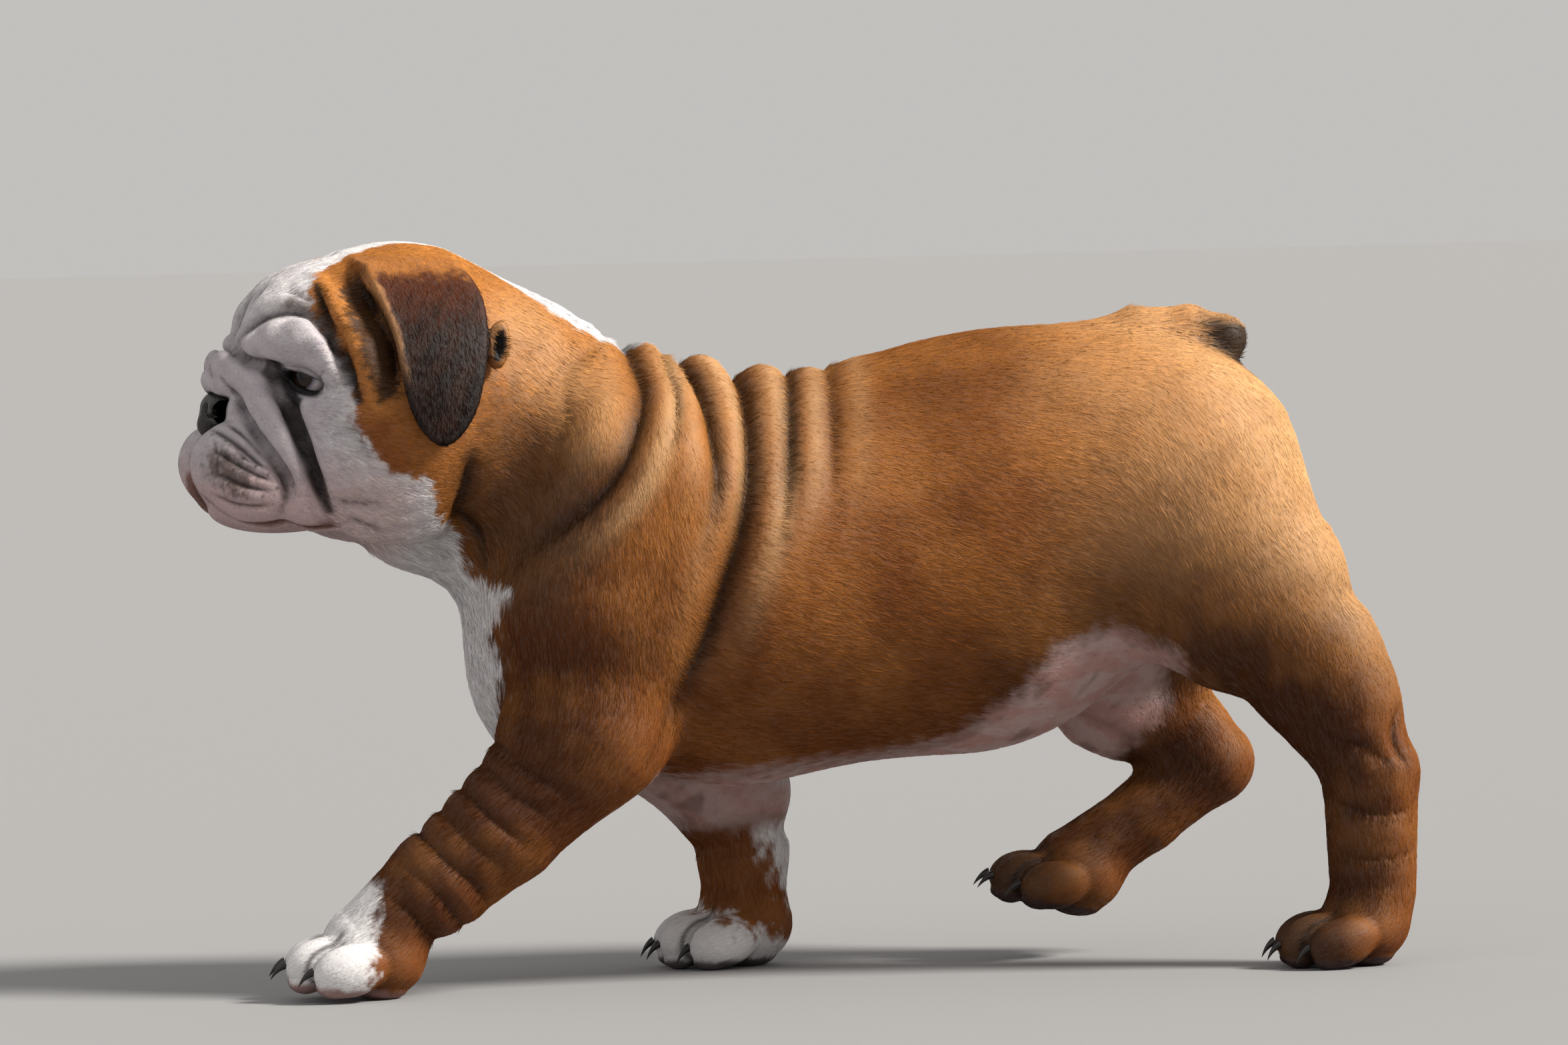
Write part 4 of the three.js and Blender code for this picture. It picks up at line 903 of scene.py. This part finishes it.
def with_eye_marks(c, p, q, ragged):
    """Adds the black rims and corners of the eyes, the inner corners partly painted shade of the deep fold
    beside them, and the dark patch over each.
    """
    for s in (-1, 1):
        e = into(eye_frame(s), p)
        a, b = along_lids(e, s)
        rim = np.hypot(a / (OPENING[0] / 2 + 1.4), (b + 2.2) / (OPENING[1] / 2 + 2.4)) - 1
        c = put(c, BLACK, step(-rim, 0.2) * step(-e[:, 0] - 1, 2))
        # The inner corner: dark skin and painted shade where the deep fold behind the nose roll begins
        near = line_distance(q * (1, s, 1), EYE_CORNER, 9)
        flat = line_distance(q[:, [0, 2]], EYE_CORNER_SIDE, 9)
        c = put(c, BLACK, 0.95 * step(np.minimum(8 - near, 2.3 + 0.2 * ragged - flat), 1.4))
        c = put(c, BLACK, 0.95 * step(4.2 - head_lines(q, s, SMUDGE) + 0.3 * ragged, 1.6))
        c = put(c, SABLE, 0.75 * step(3 - head_lines(q, s, BROW_PATCH) + 0.5 * ragged, 2.5))
    return c


def with_mouth_marks(c, p, q, ragged, leather, between):
    """Adds painted shade and dark skin in the deep folds, the whisker roots, and the black of nose and lips.
    """
    # Painted shade and dark skin down in the face's folds
    for fold, radius, colour, strength in FOLD_SHADE_AND_DARK_SKIN:
        for path in FACE_PATHS[fold]:
            c = put(c, colour, strength * step(radius - line_distance(p, path, 5), 1.1))
    for spot in WHISKERS:
        c = put(c, DARK, 0.7 * step(0.7 - line_distance(p, [spot, spot + 0.1], 3), 0.7))
    c = put(c, BLACK, step(-leather, 1))
    c = put(c, BLACK, step(between, 1.4))
    for s in (-1, 1):
        c = put(c, LIP, 0.85 * step(2.6 - head_lines(q, s, LIP_RIM) + 0.3 * ragged, 1.6))
        pigment = 6 - head_lines(q, s, WHISKER_PIGMENT) + 3 * waves(p, 4, 19)
        c = put(c, SABLE * 0.7, 0.75 * step(pigment, 4.5))
    return c


def with_paw_marks(c, p, n, ragged):
    """Adds the white toes and inner forearm in front, the dark toes behind, painted shade between the toes,
    and pads.
    """
    x, y, z = p.T
    fore_left = step(-178 - x + 0.15 * (z - 10) + 1.5 * ragged, 3) * step(46 - z, 3)
    right = step(30 - x, 2)
    fore_right = step(20 - z + 0.4 * (-30 - x) + 2 * ragged, 4) * right * step(x + 80, 2) * step(y, 2)
    inner = step(x + 20 + 0.5 * (z - 60) + 2 * ragged, 5) * step(90 - z, 6) * step(y - 10, 2) * right
    c = put(c, WHITE, np.maximum.reduce([fore_left, fore_right, inner]))
    for name, (m, size) in PAWS.items():
        foot = into(m, p) / size
        inside = step(26 - foot[:, 2], 3) * step(27 - length_of(foot[:, :2] - (-6, 0)), 3)
        if name.startswith("hind"):
            c = put(c, SABLE * 1.1, 0.75 * inside * step(-12 - foot[:, 0] + 2 * ragged, 8))
        # Painted shade in the gaps between the toes
        first, second = np.sort([length_of((foot - toe) / TOE_RADII) for toe in TOES], 0)[:2]
        toe_gap_shade = np.exp(-(((second - first) / 0.11) ** 2)) * step(1.75 - second, 0.3)
        c = put(c, DARK, 0.8 * inside * toe_gap_shade * step(-8 - foot[:, 0], 6))
        sole = inside * step(4.2 - foot[:, 2] + 0.3 * ragged, 1.2) * step(-n[:, 2] + 0.25, 0.3)
        c = put(c, (PAD + PINK) * 0.5 if name == "forepaw_left" else PAD, 0.9 * sole)
    return c


def markings(p, n):
    """Colour and bareness of the coat at points p with normals n."""
    q = into(HEAD, p)
    lateral, hq = np.abs(p[:, 1]), np.abs(q[:, 1])
    ragged = 2.2 * waves(p, 9, 1) + 1.2 * waves(p, 3.5, 2)
    white = white_depth(p, q, ragged)
    leather = union(NOSE, p) - 1.2
    between = np.minimum(4.6 - hq, np.minimum(q[:, 2] - 199, -232 - q[:, 0]))
    between = np.minimum(between, 234 - q[:, 2])
    c = put(ground_colour(p, n, ragged), white_colour(p, q), step(white, 1.6))
    c = with_ears(c, p, q, white, ragged)
    c = with_eye_marks(c, p, q, ragged)
    c = with_mouth_marks(c, p, q, ragged, leather, between + 0.4 * ragged)
    c = with_paw_marks(c, p, n, ragged)
    # The bare belly with its blotches, and the black tip of the tail
    belly = np.minimum(outline_depth(p[:, [0, 2]], BELLY), 60 - lateral) + ragged
    bare_skin = put(coloured(PINK, len(p)), WHITE, 0.25 * step(waves(p, 18, 12), 0.6))
    blotch = np.maximum(waves(p, 26, 13) - 0.6, 0.3 * step(5 - belly, 3) - 0.1)
    bare_skin = put(bare_skin, SABLE * 1.2, 0.55 * step(blotch, 0.3))
    below = step(belly, 3) * step(0.2 - n[:, 2], 0.3)
    c = put(c, bare_skin, below)
    tail = step(p[:, 0] - 161 + 3 * waves(p, 5, 14), 5) * step(p[:, 2] - 232, 4) * step(22 - lateral, 4)
    c = put(c, BLACK * 1.8, 0.93 * tail * step(0.8 - n[:, 2], 0.4))
    return c, np.maximum.reduce([0.85 * below, step(-leather, 1), step(between, 1.4)])


def shaded(colours, hollow):
    """Painted shade: colours darkened and warmed where they lie down in folds and hollows, standing also for
    darker hair at the bottom of the folds.
    """
    h = hollow[:, None]
    return colours * (1 - 0.86 * h) + DARK * 0.12 * h


# Materials
def material(name, roughness, bump, specular=0.5, colour=None):
    """A surface with a fine relief, coloured by its points unless a colour is given.

    The relief is the kind of its noise, then its scale, strength and depth."""
    made = bpy.data.materials.new(name)
    made.use_nodes = True
    tree = made.node_tree
    shader = tree.nodes["Principled BSDF"]
    shader.inputs["Roughness"].default_value = roughness
    shader.inputs["Specular IOR Level"].default_value = specular
    if colour is None:
        source = tree.nodes.new("ShaderNodeAttribute")
        source.attribute_name = "Col"
        tree.links.new(source.outputs["Color"], shader.inputs["Base Color"])
    else:
        shader.inputs["Base Color"].default_value = (*colour, 1)
    kind, scale, strength, distance = bump
    texture = tree.nodes.new(f"ShaderNodeTex{kind}")
    texture.inputs["Scale"].default_value = scale
    space = tree.nodes.new("ShaderNodeTexCoord")
    tree.links.new(space.outputs["Object"], texture.inputs["Vector"])
    relief = tree.nodes.new("ShaderNodeBump")
    relief.inputs["Strength"].default_value = strength
    relief.inputs["Distance"].default_value = distance
    tree.links.new(texture.outputs[0], relief.inputs["Height"])
    tree.links.new(relief.outputs["Normal"], shader.inputs["Normal"])
    return made


SKIN = material("skin_short_coat", 0.62, ("Noise", 900, 0.5, 0.0004), 0.3)
COAT = material("coat_hair", 0.5, ("Noise", 2500, 0.2, 0.0002), 0.07)
LEATHER = material("nose_leather", 0.38, ("Voronoi", 900, 0.5, 0.0005))
HORN = material("claw_horn", 0.32, ("Noise", 500, 0.2, 0.0002))
GLOBE = material("eye_globe", 0.08, ("Noise", 60, 0.02, 0.0001), 0.3)


# The skin's mesh
def detail_wanted(p, level):
    """Where the mesh is divided once, twice and three times."""
    q = into(HEAD, p)
    fold = np.zeros(len(p), bool)
    for one in CREASES:
        inside, near, depth = crease_reach(one, p)
        fold[inside] |= (near < 1.6) & (depth > (1, 1.2, 99)[level])
    head = q[:, 0] < -150
    muzzle = q[:, 0] < -224
    paws = (p[:, 2] < 48) | ((p[:, 0] > 60) & (p[:, 0] < 125) & (p[:, 2] < 60))
    ear = (q[:, 2] > 205) & (nearest_ear(p) < 1.5)
    if level == 0:
        return head | paws | ear | fold
    eyes = lid_distance(q) < 14
    if level == 1:
        return muzzle | eyes | (fold & (q[:, 0] < -150))
    return eyes


def skin_mesh():
    values, low = lattice(skin, (-262, -100, -6), (262, 100, 318), STEP, 4)
    verts, tris = surface_net(values, low, STEP)
    verts = settle(skin, verts, STEP / 2)
    for level in range(3):
        old = len(verts)
        verts, tris = divide(verts, tris, lambda p: detail_wanted(p, level))
        verts[old:] = settle(skin, verts[old:], STEP / 3, 1)
    # The folds are pressed in square to the smooth skin
    flat = smoothed(vertex_normals(verts, tris), tris, 3)
    flat /= length_of(flat)[:, None]
    rest = verts.copy()
    free = np.where(into(HEAD, rest)[:, 2] > 205, np.clip((nearest_ear(rest) - 0.5) / 3, 0, 1), 1)
    for fold in CREASES:
        verts = verts - flat * (free * crease_depth(fold, verts))[:, None]
    # The soles stand flat on the floor
    floor_level = -SHIFT[2] + 0.15
    verts[:, 2] = np.maximum(verts[:, 2], floor_level)
    return verts, rest, tris


# Parts of the body, for the coat and the unwrap: masses, lie, and the tufts' length and breadth
PARTS = {
    "trunk": (TRUNK, (1, 0, -0.3), 5.6, 0.36),
    "neck": (NECK, (0.8, 0, -0.6), 5.8, 0.38),
    "head": (HEAD_MASSES, None, 3.6, 0.42),
    "foreleg_left": (FORELEGS[:1], (0.1, 0, -1), 4.8, 0.36),
    "forearm_left": (FORELEGS[1:2], (-0.77, 0, -0.64), 3.8, 0.34),
    "foreleg_right": (FORELEGS[2:3], (0.1, 0, -1), 4.8, 0.36),
    "forearm_right": (FORELEGS[3:4], (0.2, 0, -1), 3.8, 0.34),
    "thigh_left": ([HINDLEGS[0]], (0.5, 0, -0.87), 5.2, 0.36),
    "shank_left": ([HINDLEGS[1]], (0.2, 0, -1), 3.8, 0.34),
    "thigh_right": ([HINDLEGS[2]], (0.2, 0, -1), 5.2, 0.36),
    "shank_right": ([HINDLEGS[3]], (0.7, 0, -0.7), 3.8, 0.34),
    "foot_right": ([HINDLEGS[4]], (-0.8, 0, -0.6), 3.8, 0.34),
    "tail": (TAIL, (1, 0, 0.05), 7.0, 0.6),
    **{name: (masses, (-1, 0, -0.4), 2.2, 0.32) for name, masses in PAW_MASSES.items()},
}


def shares(p):
    """How much each body part owns a point."""
    near = np.stack([union(spec[0], p) for spec in PARTS.values()], 1)
    w = np.exp(-(near - near.min(1, keepdims=True)) / 3.5)
    return w / w.sum(1, keepdims=True)


def lie_of(p, n, w):
    """The way the coat lies: back from the nose on the head, down on the ears and by parts elsewhere."""
    q = into(HEAD, p)
    total = np.zeros_like(p)
    for k, (_, lie, *_) in enumerate(PARTS.values()):
        if lie is None:
            away = q - (-238, 0, 244)
            lie = away / np.maximum(length_of(away), 1)[:, None] + (LEAD, 0, 0)
            lie = lie @ HEAD[:3, :3].T
        total += w[:, k : k + 1] * lie
    total = np.where((nearest_ear(p) < 1.5)[:, None], (0.12, 0, -1), total)
    total -= dot(total, n)[:, None] * n
    return total / np.maximum(length_of(total), 1e-6)[:, None]


def edge_turns(verts, tris, normals):
    """For each edge of each triangle: its ends, its run, and how fast the surface turns along it."""
    for a, b in ((0, 1), (1, 2), (2, 0)):
        i, j = tris[:, a], tris[:, b]
        edge = verts[j] - verts[i]
        size = np.maximum(dot(edge, edge), 1e-6)
        yield i, j, edge, size, dot(normals[j] - normals[i], edge) / size


def mean_at_ends(edges, count):
    """Weighted values of edges, averaged at the points where they end."""
    total, weight = np.zeros(count), np.zeros(count)
    for i, j, value, share in edges:
        for k in (i, j):
            total += np.bincount(k, share * value, count)
            weight += np.bincount(k, share, count)
    return (total / np.maximum(weight, 1e-6))[:, None]


def bend_along(verts, tris, normals, lie):
    """How fast the surface turns away along the lie of the coat, per millimetre."""
    edges = ((i, j, turn, dot(lie[i], edge) ** 2 / size)
             for i, j, edge, size, turn in edge_turns(verts, tris, normals))
    return smoothed(mean_at_ends(edges, len(verts)), tris, 2)[:, 0]


def cavities(verts, tris, normals):
    """How sharply the surface is hollow at each point, from 0 to 1."""
    edges = ((i, j, turn, np.ones(len(i))) for i, j, _, _, turn in edge_turns(verts, tris, normals))
    mean = smoothed(mean_at_ends(edges, len(verts)), tris, 3)[:, 0]
    return np.clip((-mean - 0.03) / 0.3, 0, 1)


def unwrap(p, part):
    """A patch for each body part, wound round its own length."""
    uv = np.zeros((len(p), 2))
    columns = 4
    rows = math.ceil(len(PARTS) / columns)
    for k, (masses, *_) in enumerate(PARTS.values()):
        mine = part == k
        if not mine.any():
            continue
        ends = np.vstack([m["points"][:, :3] if "points" in m else m["centre"][None] for m in masses])
        if len(ends) < 2:
            ends = np.vstack([ends - (30, 0, 0), ends + (30, 0, 0)])
        axis = np.linalg.svd(ends - ends.mean(0), full_matrices=False)[2][0]
        across = np.cross(axis, (0, 1, 0) if abs(axis[1]) < 0.7 else (0, 0, 1))
        across /= np.linalg.norm(across)
        third = np.cross(axis, across)
        r = p[mine] - ends.mean(0)
        turn = np.arctan2(r @ across, r @ third) / (2 * math.pi) + 0.5
        run = r @ axis
        run = (run - run.min()) / max(np.ptp(run), 1)
        cell = np.array([k % columns, k // columns])
        uv[mine] = (cell + 0.03 + 0.94 * np.stack([turn, run], 1)) / (columns, rows)
    return uv


verts, rest, tris = skin_mesh()
normals = vertex_normals(verts, tris)
weights = shares(verts)
part_of = weights.argmax(1)
colours, bare = markings(rest, normals)
# Painted shade down in the folds and in sharp hollows, for skin and coat alike
hollow = smoothed(crease_shade(rest)[:, None], tris, 2)[:, 0]
hollow = np.maximum(hollow, 0.75 * cavities(verts, tris, normals))
lie = smoothed(lie_of(verts, normals, weights), tris, 6)
skin_uv = unwrap(verts, part_of)
bend = bend_along(verts, tris, normals, lie)
# Painted shade under the coat: the skin darkened by up to 18%, least on the front of the face
shade_under_coat = np.interp(into(HEAD, rest)[:, 0], [-215, -170], [0.05, 0.18])
skin_colours = shaded(colours, hollow) * (1 - shade_under_coat)[:, None]
skin_piece = object_from("skin", to_frame(verts), tris, SKIN, skin_colours, skin_uv)
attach(skin_piece, "root")
FLESH = ["torso", "neck", "tail", "skull", "face", "ear_left", "ear_right", "foreleg_left", "foreleg_right",
         "hindleg_left", "hindleg_right", "forepaw_left", "forepaw_right", "hindpaw_left", "hindpaw_right"]
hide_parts(*FLESH)


# The coat, in pieces by region
HEAD_PART = list(PARTS).index("head")
REGIONS = {"head": "head", "neck": "neck", "trunk": "trunk", "tail": "trunk"}
SLOTS = {"head": "white_coat", "neck": "fawn_coat", "trunk": "fawn_coat", "legs": "fawn_coat",
         "paws": "paw_coat"}


def tufts():
    """Roots, axes and sizes of the tufts, thicker set where they are finer."""
    sizes = np.array([[spec[2], spec[3]] for spec in PARTS.values()])
    own = weights @ sizes
    q = into(HEAD, verts)
    long = np.interp(q[:, 0], [-222, -206, -192, -170], [1.2, 1.9, 3.2, 4.2]) + 1.2 * step(q[:, 2] - 264, 8)
    long = np.minimum(long, np.interp(lid_distance(q), [8, 22], [1.0, 3.2]))
    head_share = weights[:, HEAD_PART, None]
    own = np.where(head_share > 0.5, np.stack([long, 0.22 + 0.055 * long], 1), own)
    a, b, c = (verts[tris[:, k]] for k in range(3))
    area = length_of(np.cross(b - a, c - a)) / 2
    size = own[tris].mean(1)
    rate = area / (size[:, 0] * size[:, 1]) * (1 - 0.9 * bare[tris].mean(1))
    rate[verts[tris, 2].mean(1) < 1.2] = 0
    pick = rng.choice(len(tris), TUFTS, p=rate / rate.sum())
    u, v = rng.random((2, TUFTS))
    u, v = np.where(u + v > 1, 1 - u, u), np.where(u + v > 1, 1 - v, v)
    bary = np.stack([1 - u - v, u, v], 1)[:, :, None]

    def blend(values):
        return (values[tris[pick]] * bary).sum(1)

    fields = verts, normals, lie, own, skin_uv, rest, hollow[:, None], bend[:, None]
    return tris[pick, 0], [blend(values) for values in fields]


def coat():
    nearest, (root, n, axis, size, uv, smooth_root, deep, turn) = tufts()
    part = part_of[nearest]
    n /= length_of(n)[:, None]
    axis -= dot(axis, n)[:, None] * n
    axis /= np.maximum(length_of(axis), 1e-6)[:, None]
    across = np.cross(n, axis)
    count = len(root)
    spread = rng.normal(0, 0.16, count)[:, None]
    axis = axis * np.cos(spread) + across * np.sin(spread)
    across = np.cross(n, axis)
    lift = np.radians(rng.uniform(2, 8, count))[:, None]
    long = size[:, :1] * rng.uniform(0.65, 1.2, (count, 1))
    wide = TUFT_BREADTH * size[:, 1:] * rng.uniform(0.75, 1.3, (count, 1))
    long[nearest_ear(root) < 1.5] *= 0.8
    long *= (1 - 0.6 * bare[nearest])[:, None] * (1 - 0.4 * deep)
    root = root - 0.12 * n
    # The tips keep to the skin where it turns
    sink = np.clip(turn, -0.3, 0.12) * long**2 / 2
    tip = root + long * (axis * np.cos(lift) + n * np.sin(lift)) - n * sink
    colour, _ = markings(smooth_root + 0.4 * long * axis * rng.random((count, 1)), n)
    # Painted shade in folds, as on the skin
    colour = shaded(colour, deep[:, 0])
    tone = np.exp(rng.normal(0, np.where(part == HEAD_PART, 0.18, 0.14), count))[:, None]
    colour = np.clip(colour * tone, 0.002, 1)
    colour[:, 2] *= rng.uniform(0.9, 1.08, count)
    points = np.stack([root - across * wide / 2, root + across * wide / 2, root + n * wide * 0.55, tip], 1)
    # Each tuft darker at its root, painted shade among the hairs, and lighter at its tip
    shade = np.stack([colour * 0.8, colour * 0.8, colour * 0.95, np.clip(colour * 1.15, 0, 1)], 1)
    own = n + rng.normal(0, 0.15, (count, 1)) * across + rng.normal(0, 0.12, (count, 1)) * axis
    facing = np.stack([own - 0.3 * across, own + 0.3 * across, own, own + 0.2 * axis], 1)
    facing /= length_of(facing)[..., None]
    patch = np.array([(-0.0012, 0), (0.0012, 0), (0, 0.0006), (0, 0.003)])
    faces = np.array([(0, 3, 2), (2, 3, 1), (1, 3, 0)])
    region = np.array([REGIONS.get(name, "paws" if "paw" in name else "legs") for name in PARTS])[part]
    for name, slot in SLOTS.items():
        mine = np.flatnonzero(region == name)
        mine = mine[np.argsort(root[mine, 1])]
        pieces = math.ceil(len(mine) * len(faces) / PIECE_FACES)
        for k, group in enumerate(np.array_split(mine, pieces)):
            at_points, normal, tint = (v[group].reshape(-1, 3) for v in (points, facing, shade))
            corners = (faces[None] + 4 * np.arange(len(group))[:, None, None]).reshape(-1, 3)
            places = (uv[group][:, None] + patch).reshape(-1, 2)
            piece = object_from(f"coat_{name}_{k + 1}", to_frame(at_points), corners, COAT, tint, places,
                                facing=normal)
            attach(piece, "root")


coat()


# Eyes, nose and claws
def globe(s):
    """An eyeball with a slightly proud cornea, its iris turned towards the nose."""
    rings, around = 64, 72
    theta = np.linspace(0, math.pi, rings + 1)[1:-1]
    phi = np.arange(around) / around * 2 * math.pi
    t, f = np.meshgrid(theta, phi, indexing="ij")
    rise = 0.55 * np.clip(1 - (t / 0.75) ** 2, 0, 1)
    r = EYE_RADIUS - 0.1 + rise
    pts = np.stack([-np.cos(t) * r, np.sin(t) * np.cos(f) * r, np.sin(t) * np.sin(f) * r], -1).reshape(-1, 3)
    pts = np.vstack([pts, [(-EYE_RADIUS - 0.45, 0, 0), (EYE_RADIUS - 0.1, 0, 0)]])
    angle = np.concatenate([t.ravel(), [0, math.pi]])
    colour = coloured(linear("#060505"), len(pts))
    colour = put(colour, linear("#25130b"), step(angle - 0.3, 0.06) * step(0.58 - angle, 0.1))
    colour = put(colour, linear("#7f7a86"), step(angle - 0.64, 0.06))
    colour = put(colour, linear("#b5abae"), step(angle - 0.76, 0.1))
    colour = put(colour, linear("#a8766c"), 0.8 * step(angle - 1.15, 0.3))
    i = np.arange((rings - 2) * around).reshape(rings - 2, around)
    j = np.roll(i, -1, 1)
    body = np.stack([i, i + around, j + around, j], -1).reshape(-1, 4)
    body = np.vstack([body[:, [0, 1, 2]], body[:, [0, 2, 3]]])
    first, last = np.arange(around), np.arange(around) + (rings - 2) * around
    caps = [np.stack([np.full(around, len(pts) - 2), first, np.roll(first, -1)], 1),
            np.stack([np.full(around, len(pts) - 1), np.roll(last, -1), last], 1)]
    gaze = eye_frame(s, GAZE_TURN, GAZE_FALL)
    side = "left" if s < 0 else "right"
    piece = object_from(f"eye_{side}", to_frame(at(gaze, pts)), np.vstack([body, *caps]), GLOBE, colour)
    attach(piece, "root")
    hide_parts(f"eye_{side}")


globe(-1)
globe(1)


def nose_field(p):
    d = union(NOSE, p)
    for hole in NOSTRILS:
        d = carve(d, mass_distance(hole, p), hole["blend"])
    return d


values, low = lattice(nose_field, (-252, -30, 208), (-204, 32, 256), 0.8, 3)
nose_verts, nose_tris = surface_net(values, low, 0.8)
nose_verts = settle(nose_field, nose_verts, 0.4)
nose_colour = coloured(linear("#15110f"), len(nose_verts))
nose_colour = put(nose_colour, linear("#2b2422"), step(waves(nose_verts, 6, 20), 1))
nose_piece = object_from("nose_leather", to_frame(nose_verts), nose_tris, LEATHER, nose_colour)
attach(nose_piece, "root")
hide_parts("nose")


def claw(m, size, x, y, z):
    """A curved, tapering claw."""
    root = m @ place(((x - 8.5) * size, y * size, (z - 1.5) * size), -y * 0.5, -22)
    rings, around = 9, 12
    t = np.linspace(0, 1, rings)[:, None]
    a = np.linspace(0, 2 * math.pi, around, endpoint=False)[None]
    radius = 1.7 * (1 - t) ** 0.7 + 0.05
    px = -7.5 * t + 0 * a
    pz = -4 * t**2 + radius * np.sin(a)
    py = radius * 0.8 * np.cos(a)
    pts = at(root, np.stack([px, py, pz], -1).reshape(-1, 3))
    i = np.arange((rings - 1) * around).reshape(rings - 1, around)
    j = np.roll(i, -1, 1)
    return pts, np.stack([i, j, j + around, i + around], -1).reshape(-1, 4)


for name, (m, size) in PAWS.items():
    all_points, all_faces = [], []
    for x, y, z in TOES:
        pts, faces = claw(m, size, x, y, z)
        all_faces.append(faces + sum(len(v) for v in all_points))
        all_points.append(pts)
    pts = np.vstack(all_points)
    pts[:, 2] = np.maximum(pts[:, 2], -SHIFT[2] + 0.2)
    horn_colour = coloured(linear("#1a1412"), len(pts))
    piece = object_from(f"claws_{name}", to_frame(pts), np.vstack(all_faces), HORN, horn_colour)
    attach(piece, "root")


# Floor, light and camera
PAPER = material("floor_paper", 0.95, ("Noise", 40, 0.05, 0.001), colour=(0.29, 0.287, 0.288))
FLOOR = [(-60, -60, 0), (60, -60, 0), (60, 60, 0), (-60, 60, 0)]
piece = object_from("floor", FLOOR, [(0, 1, 2, 3)], PAPER, smooth=False)


def sun_light(name, direction, strength, spread, colour=(1, 1, 1)):
    data = bpy.data.lights.new(name, "SUN")
    data.energy, data.angle, data.color = strength, math.radians(spread), colour
    lamp = bpy.data.objects.new(name, data)
    lamp.rotation_euler = Vector(direction).to_track_quat("-Z", "Y").to_euler()
    bpy.context.collection.objects.link(lamp)


sun_light("key", (-0.8, 0.34, -0.72), 5.4, 14, (1, 0.965, 0.91))
sun_light("fill", (0.7, 0.8, -0.5), 0.3, 60, (0.92, 0.96, 1))
world = bpy.data.worlds.new("studio")
world.use_nodes = True
sky = world.node_tree.nodes["Background"]
sky.inputs["Color"].default_value = (0.54, 0.53, 0.515, 1)
sky.inputs["Strength"].default_value = 1
bpy.context.scene.world = world

turn, rise, roll = map(math.radians, (CAMERA_TURN, CAMERA_RISE, CAMERA_ROLL))
forward = Vector((-math.sin(turn) * math.cos(rise), math.cos(turn) * math.cos(rise), -math.sin(rise)))
right = Vector((math.cos(turn), math.sin(turn), 0))
up = right.cross(forward)
right, up = right * math.cos(roll) - up * math.sin(roll), right * math.sin(roll) + up * math.cos(roll)
camera_data = bpy.data.cameras.new("camera")
camera_data.sensor_width = SENSOR
camera_data.lens = SENSOR * CAMERA_REACH / (FRAME_WIDTH * MM_PER_UNIT)
camera_data.clip_end = 100
camera = bpy.data.objects.new("camera", camera_data)
eye_point = Vector(to_frame(np.array(LOOK_AT, float))) - forward * (CAMERA_REACH / 1000)
# The photograph's centre lies a little beside the point looked at
unit = MM_PER_UNIT / CAMERA_REACH
aim = forward + right * ((FRAME_WIDTH / 2 - LOOK_AT_UV[0]) * unit)
aim = aim - up * ((FRAME_HEIGHT / 2 - LOOK_AT_UV[1]) * unit)
aim.normalize()
right = (right - aim * right.dot(aim)).normalized()
up = right.cross(aim)
camera.matrix_world = Matrix(((right.x, up.x, -aim.x, eye_point.x), (right.y, up.y, -aim.y, eye_point.y),
                              (right.z, up.z, -aim.z, eye_point.z), (0, 0, 0, 1)))
bpy.context.collection.objects.link(camera)
bpy.context.scene.camera = camera
bpy.context.scene.view_settings.view_transform = "Standard"
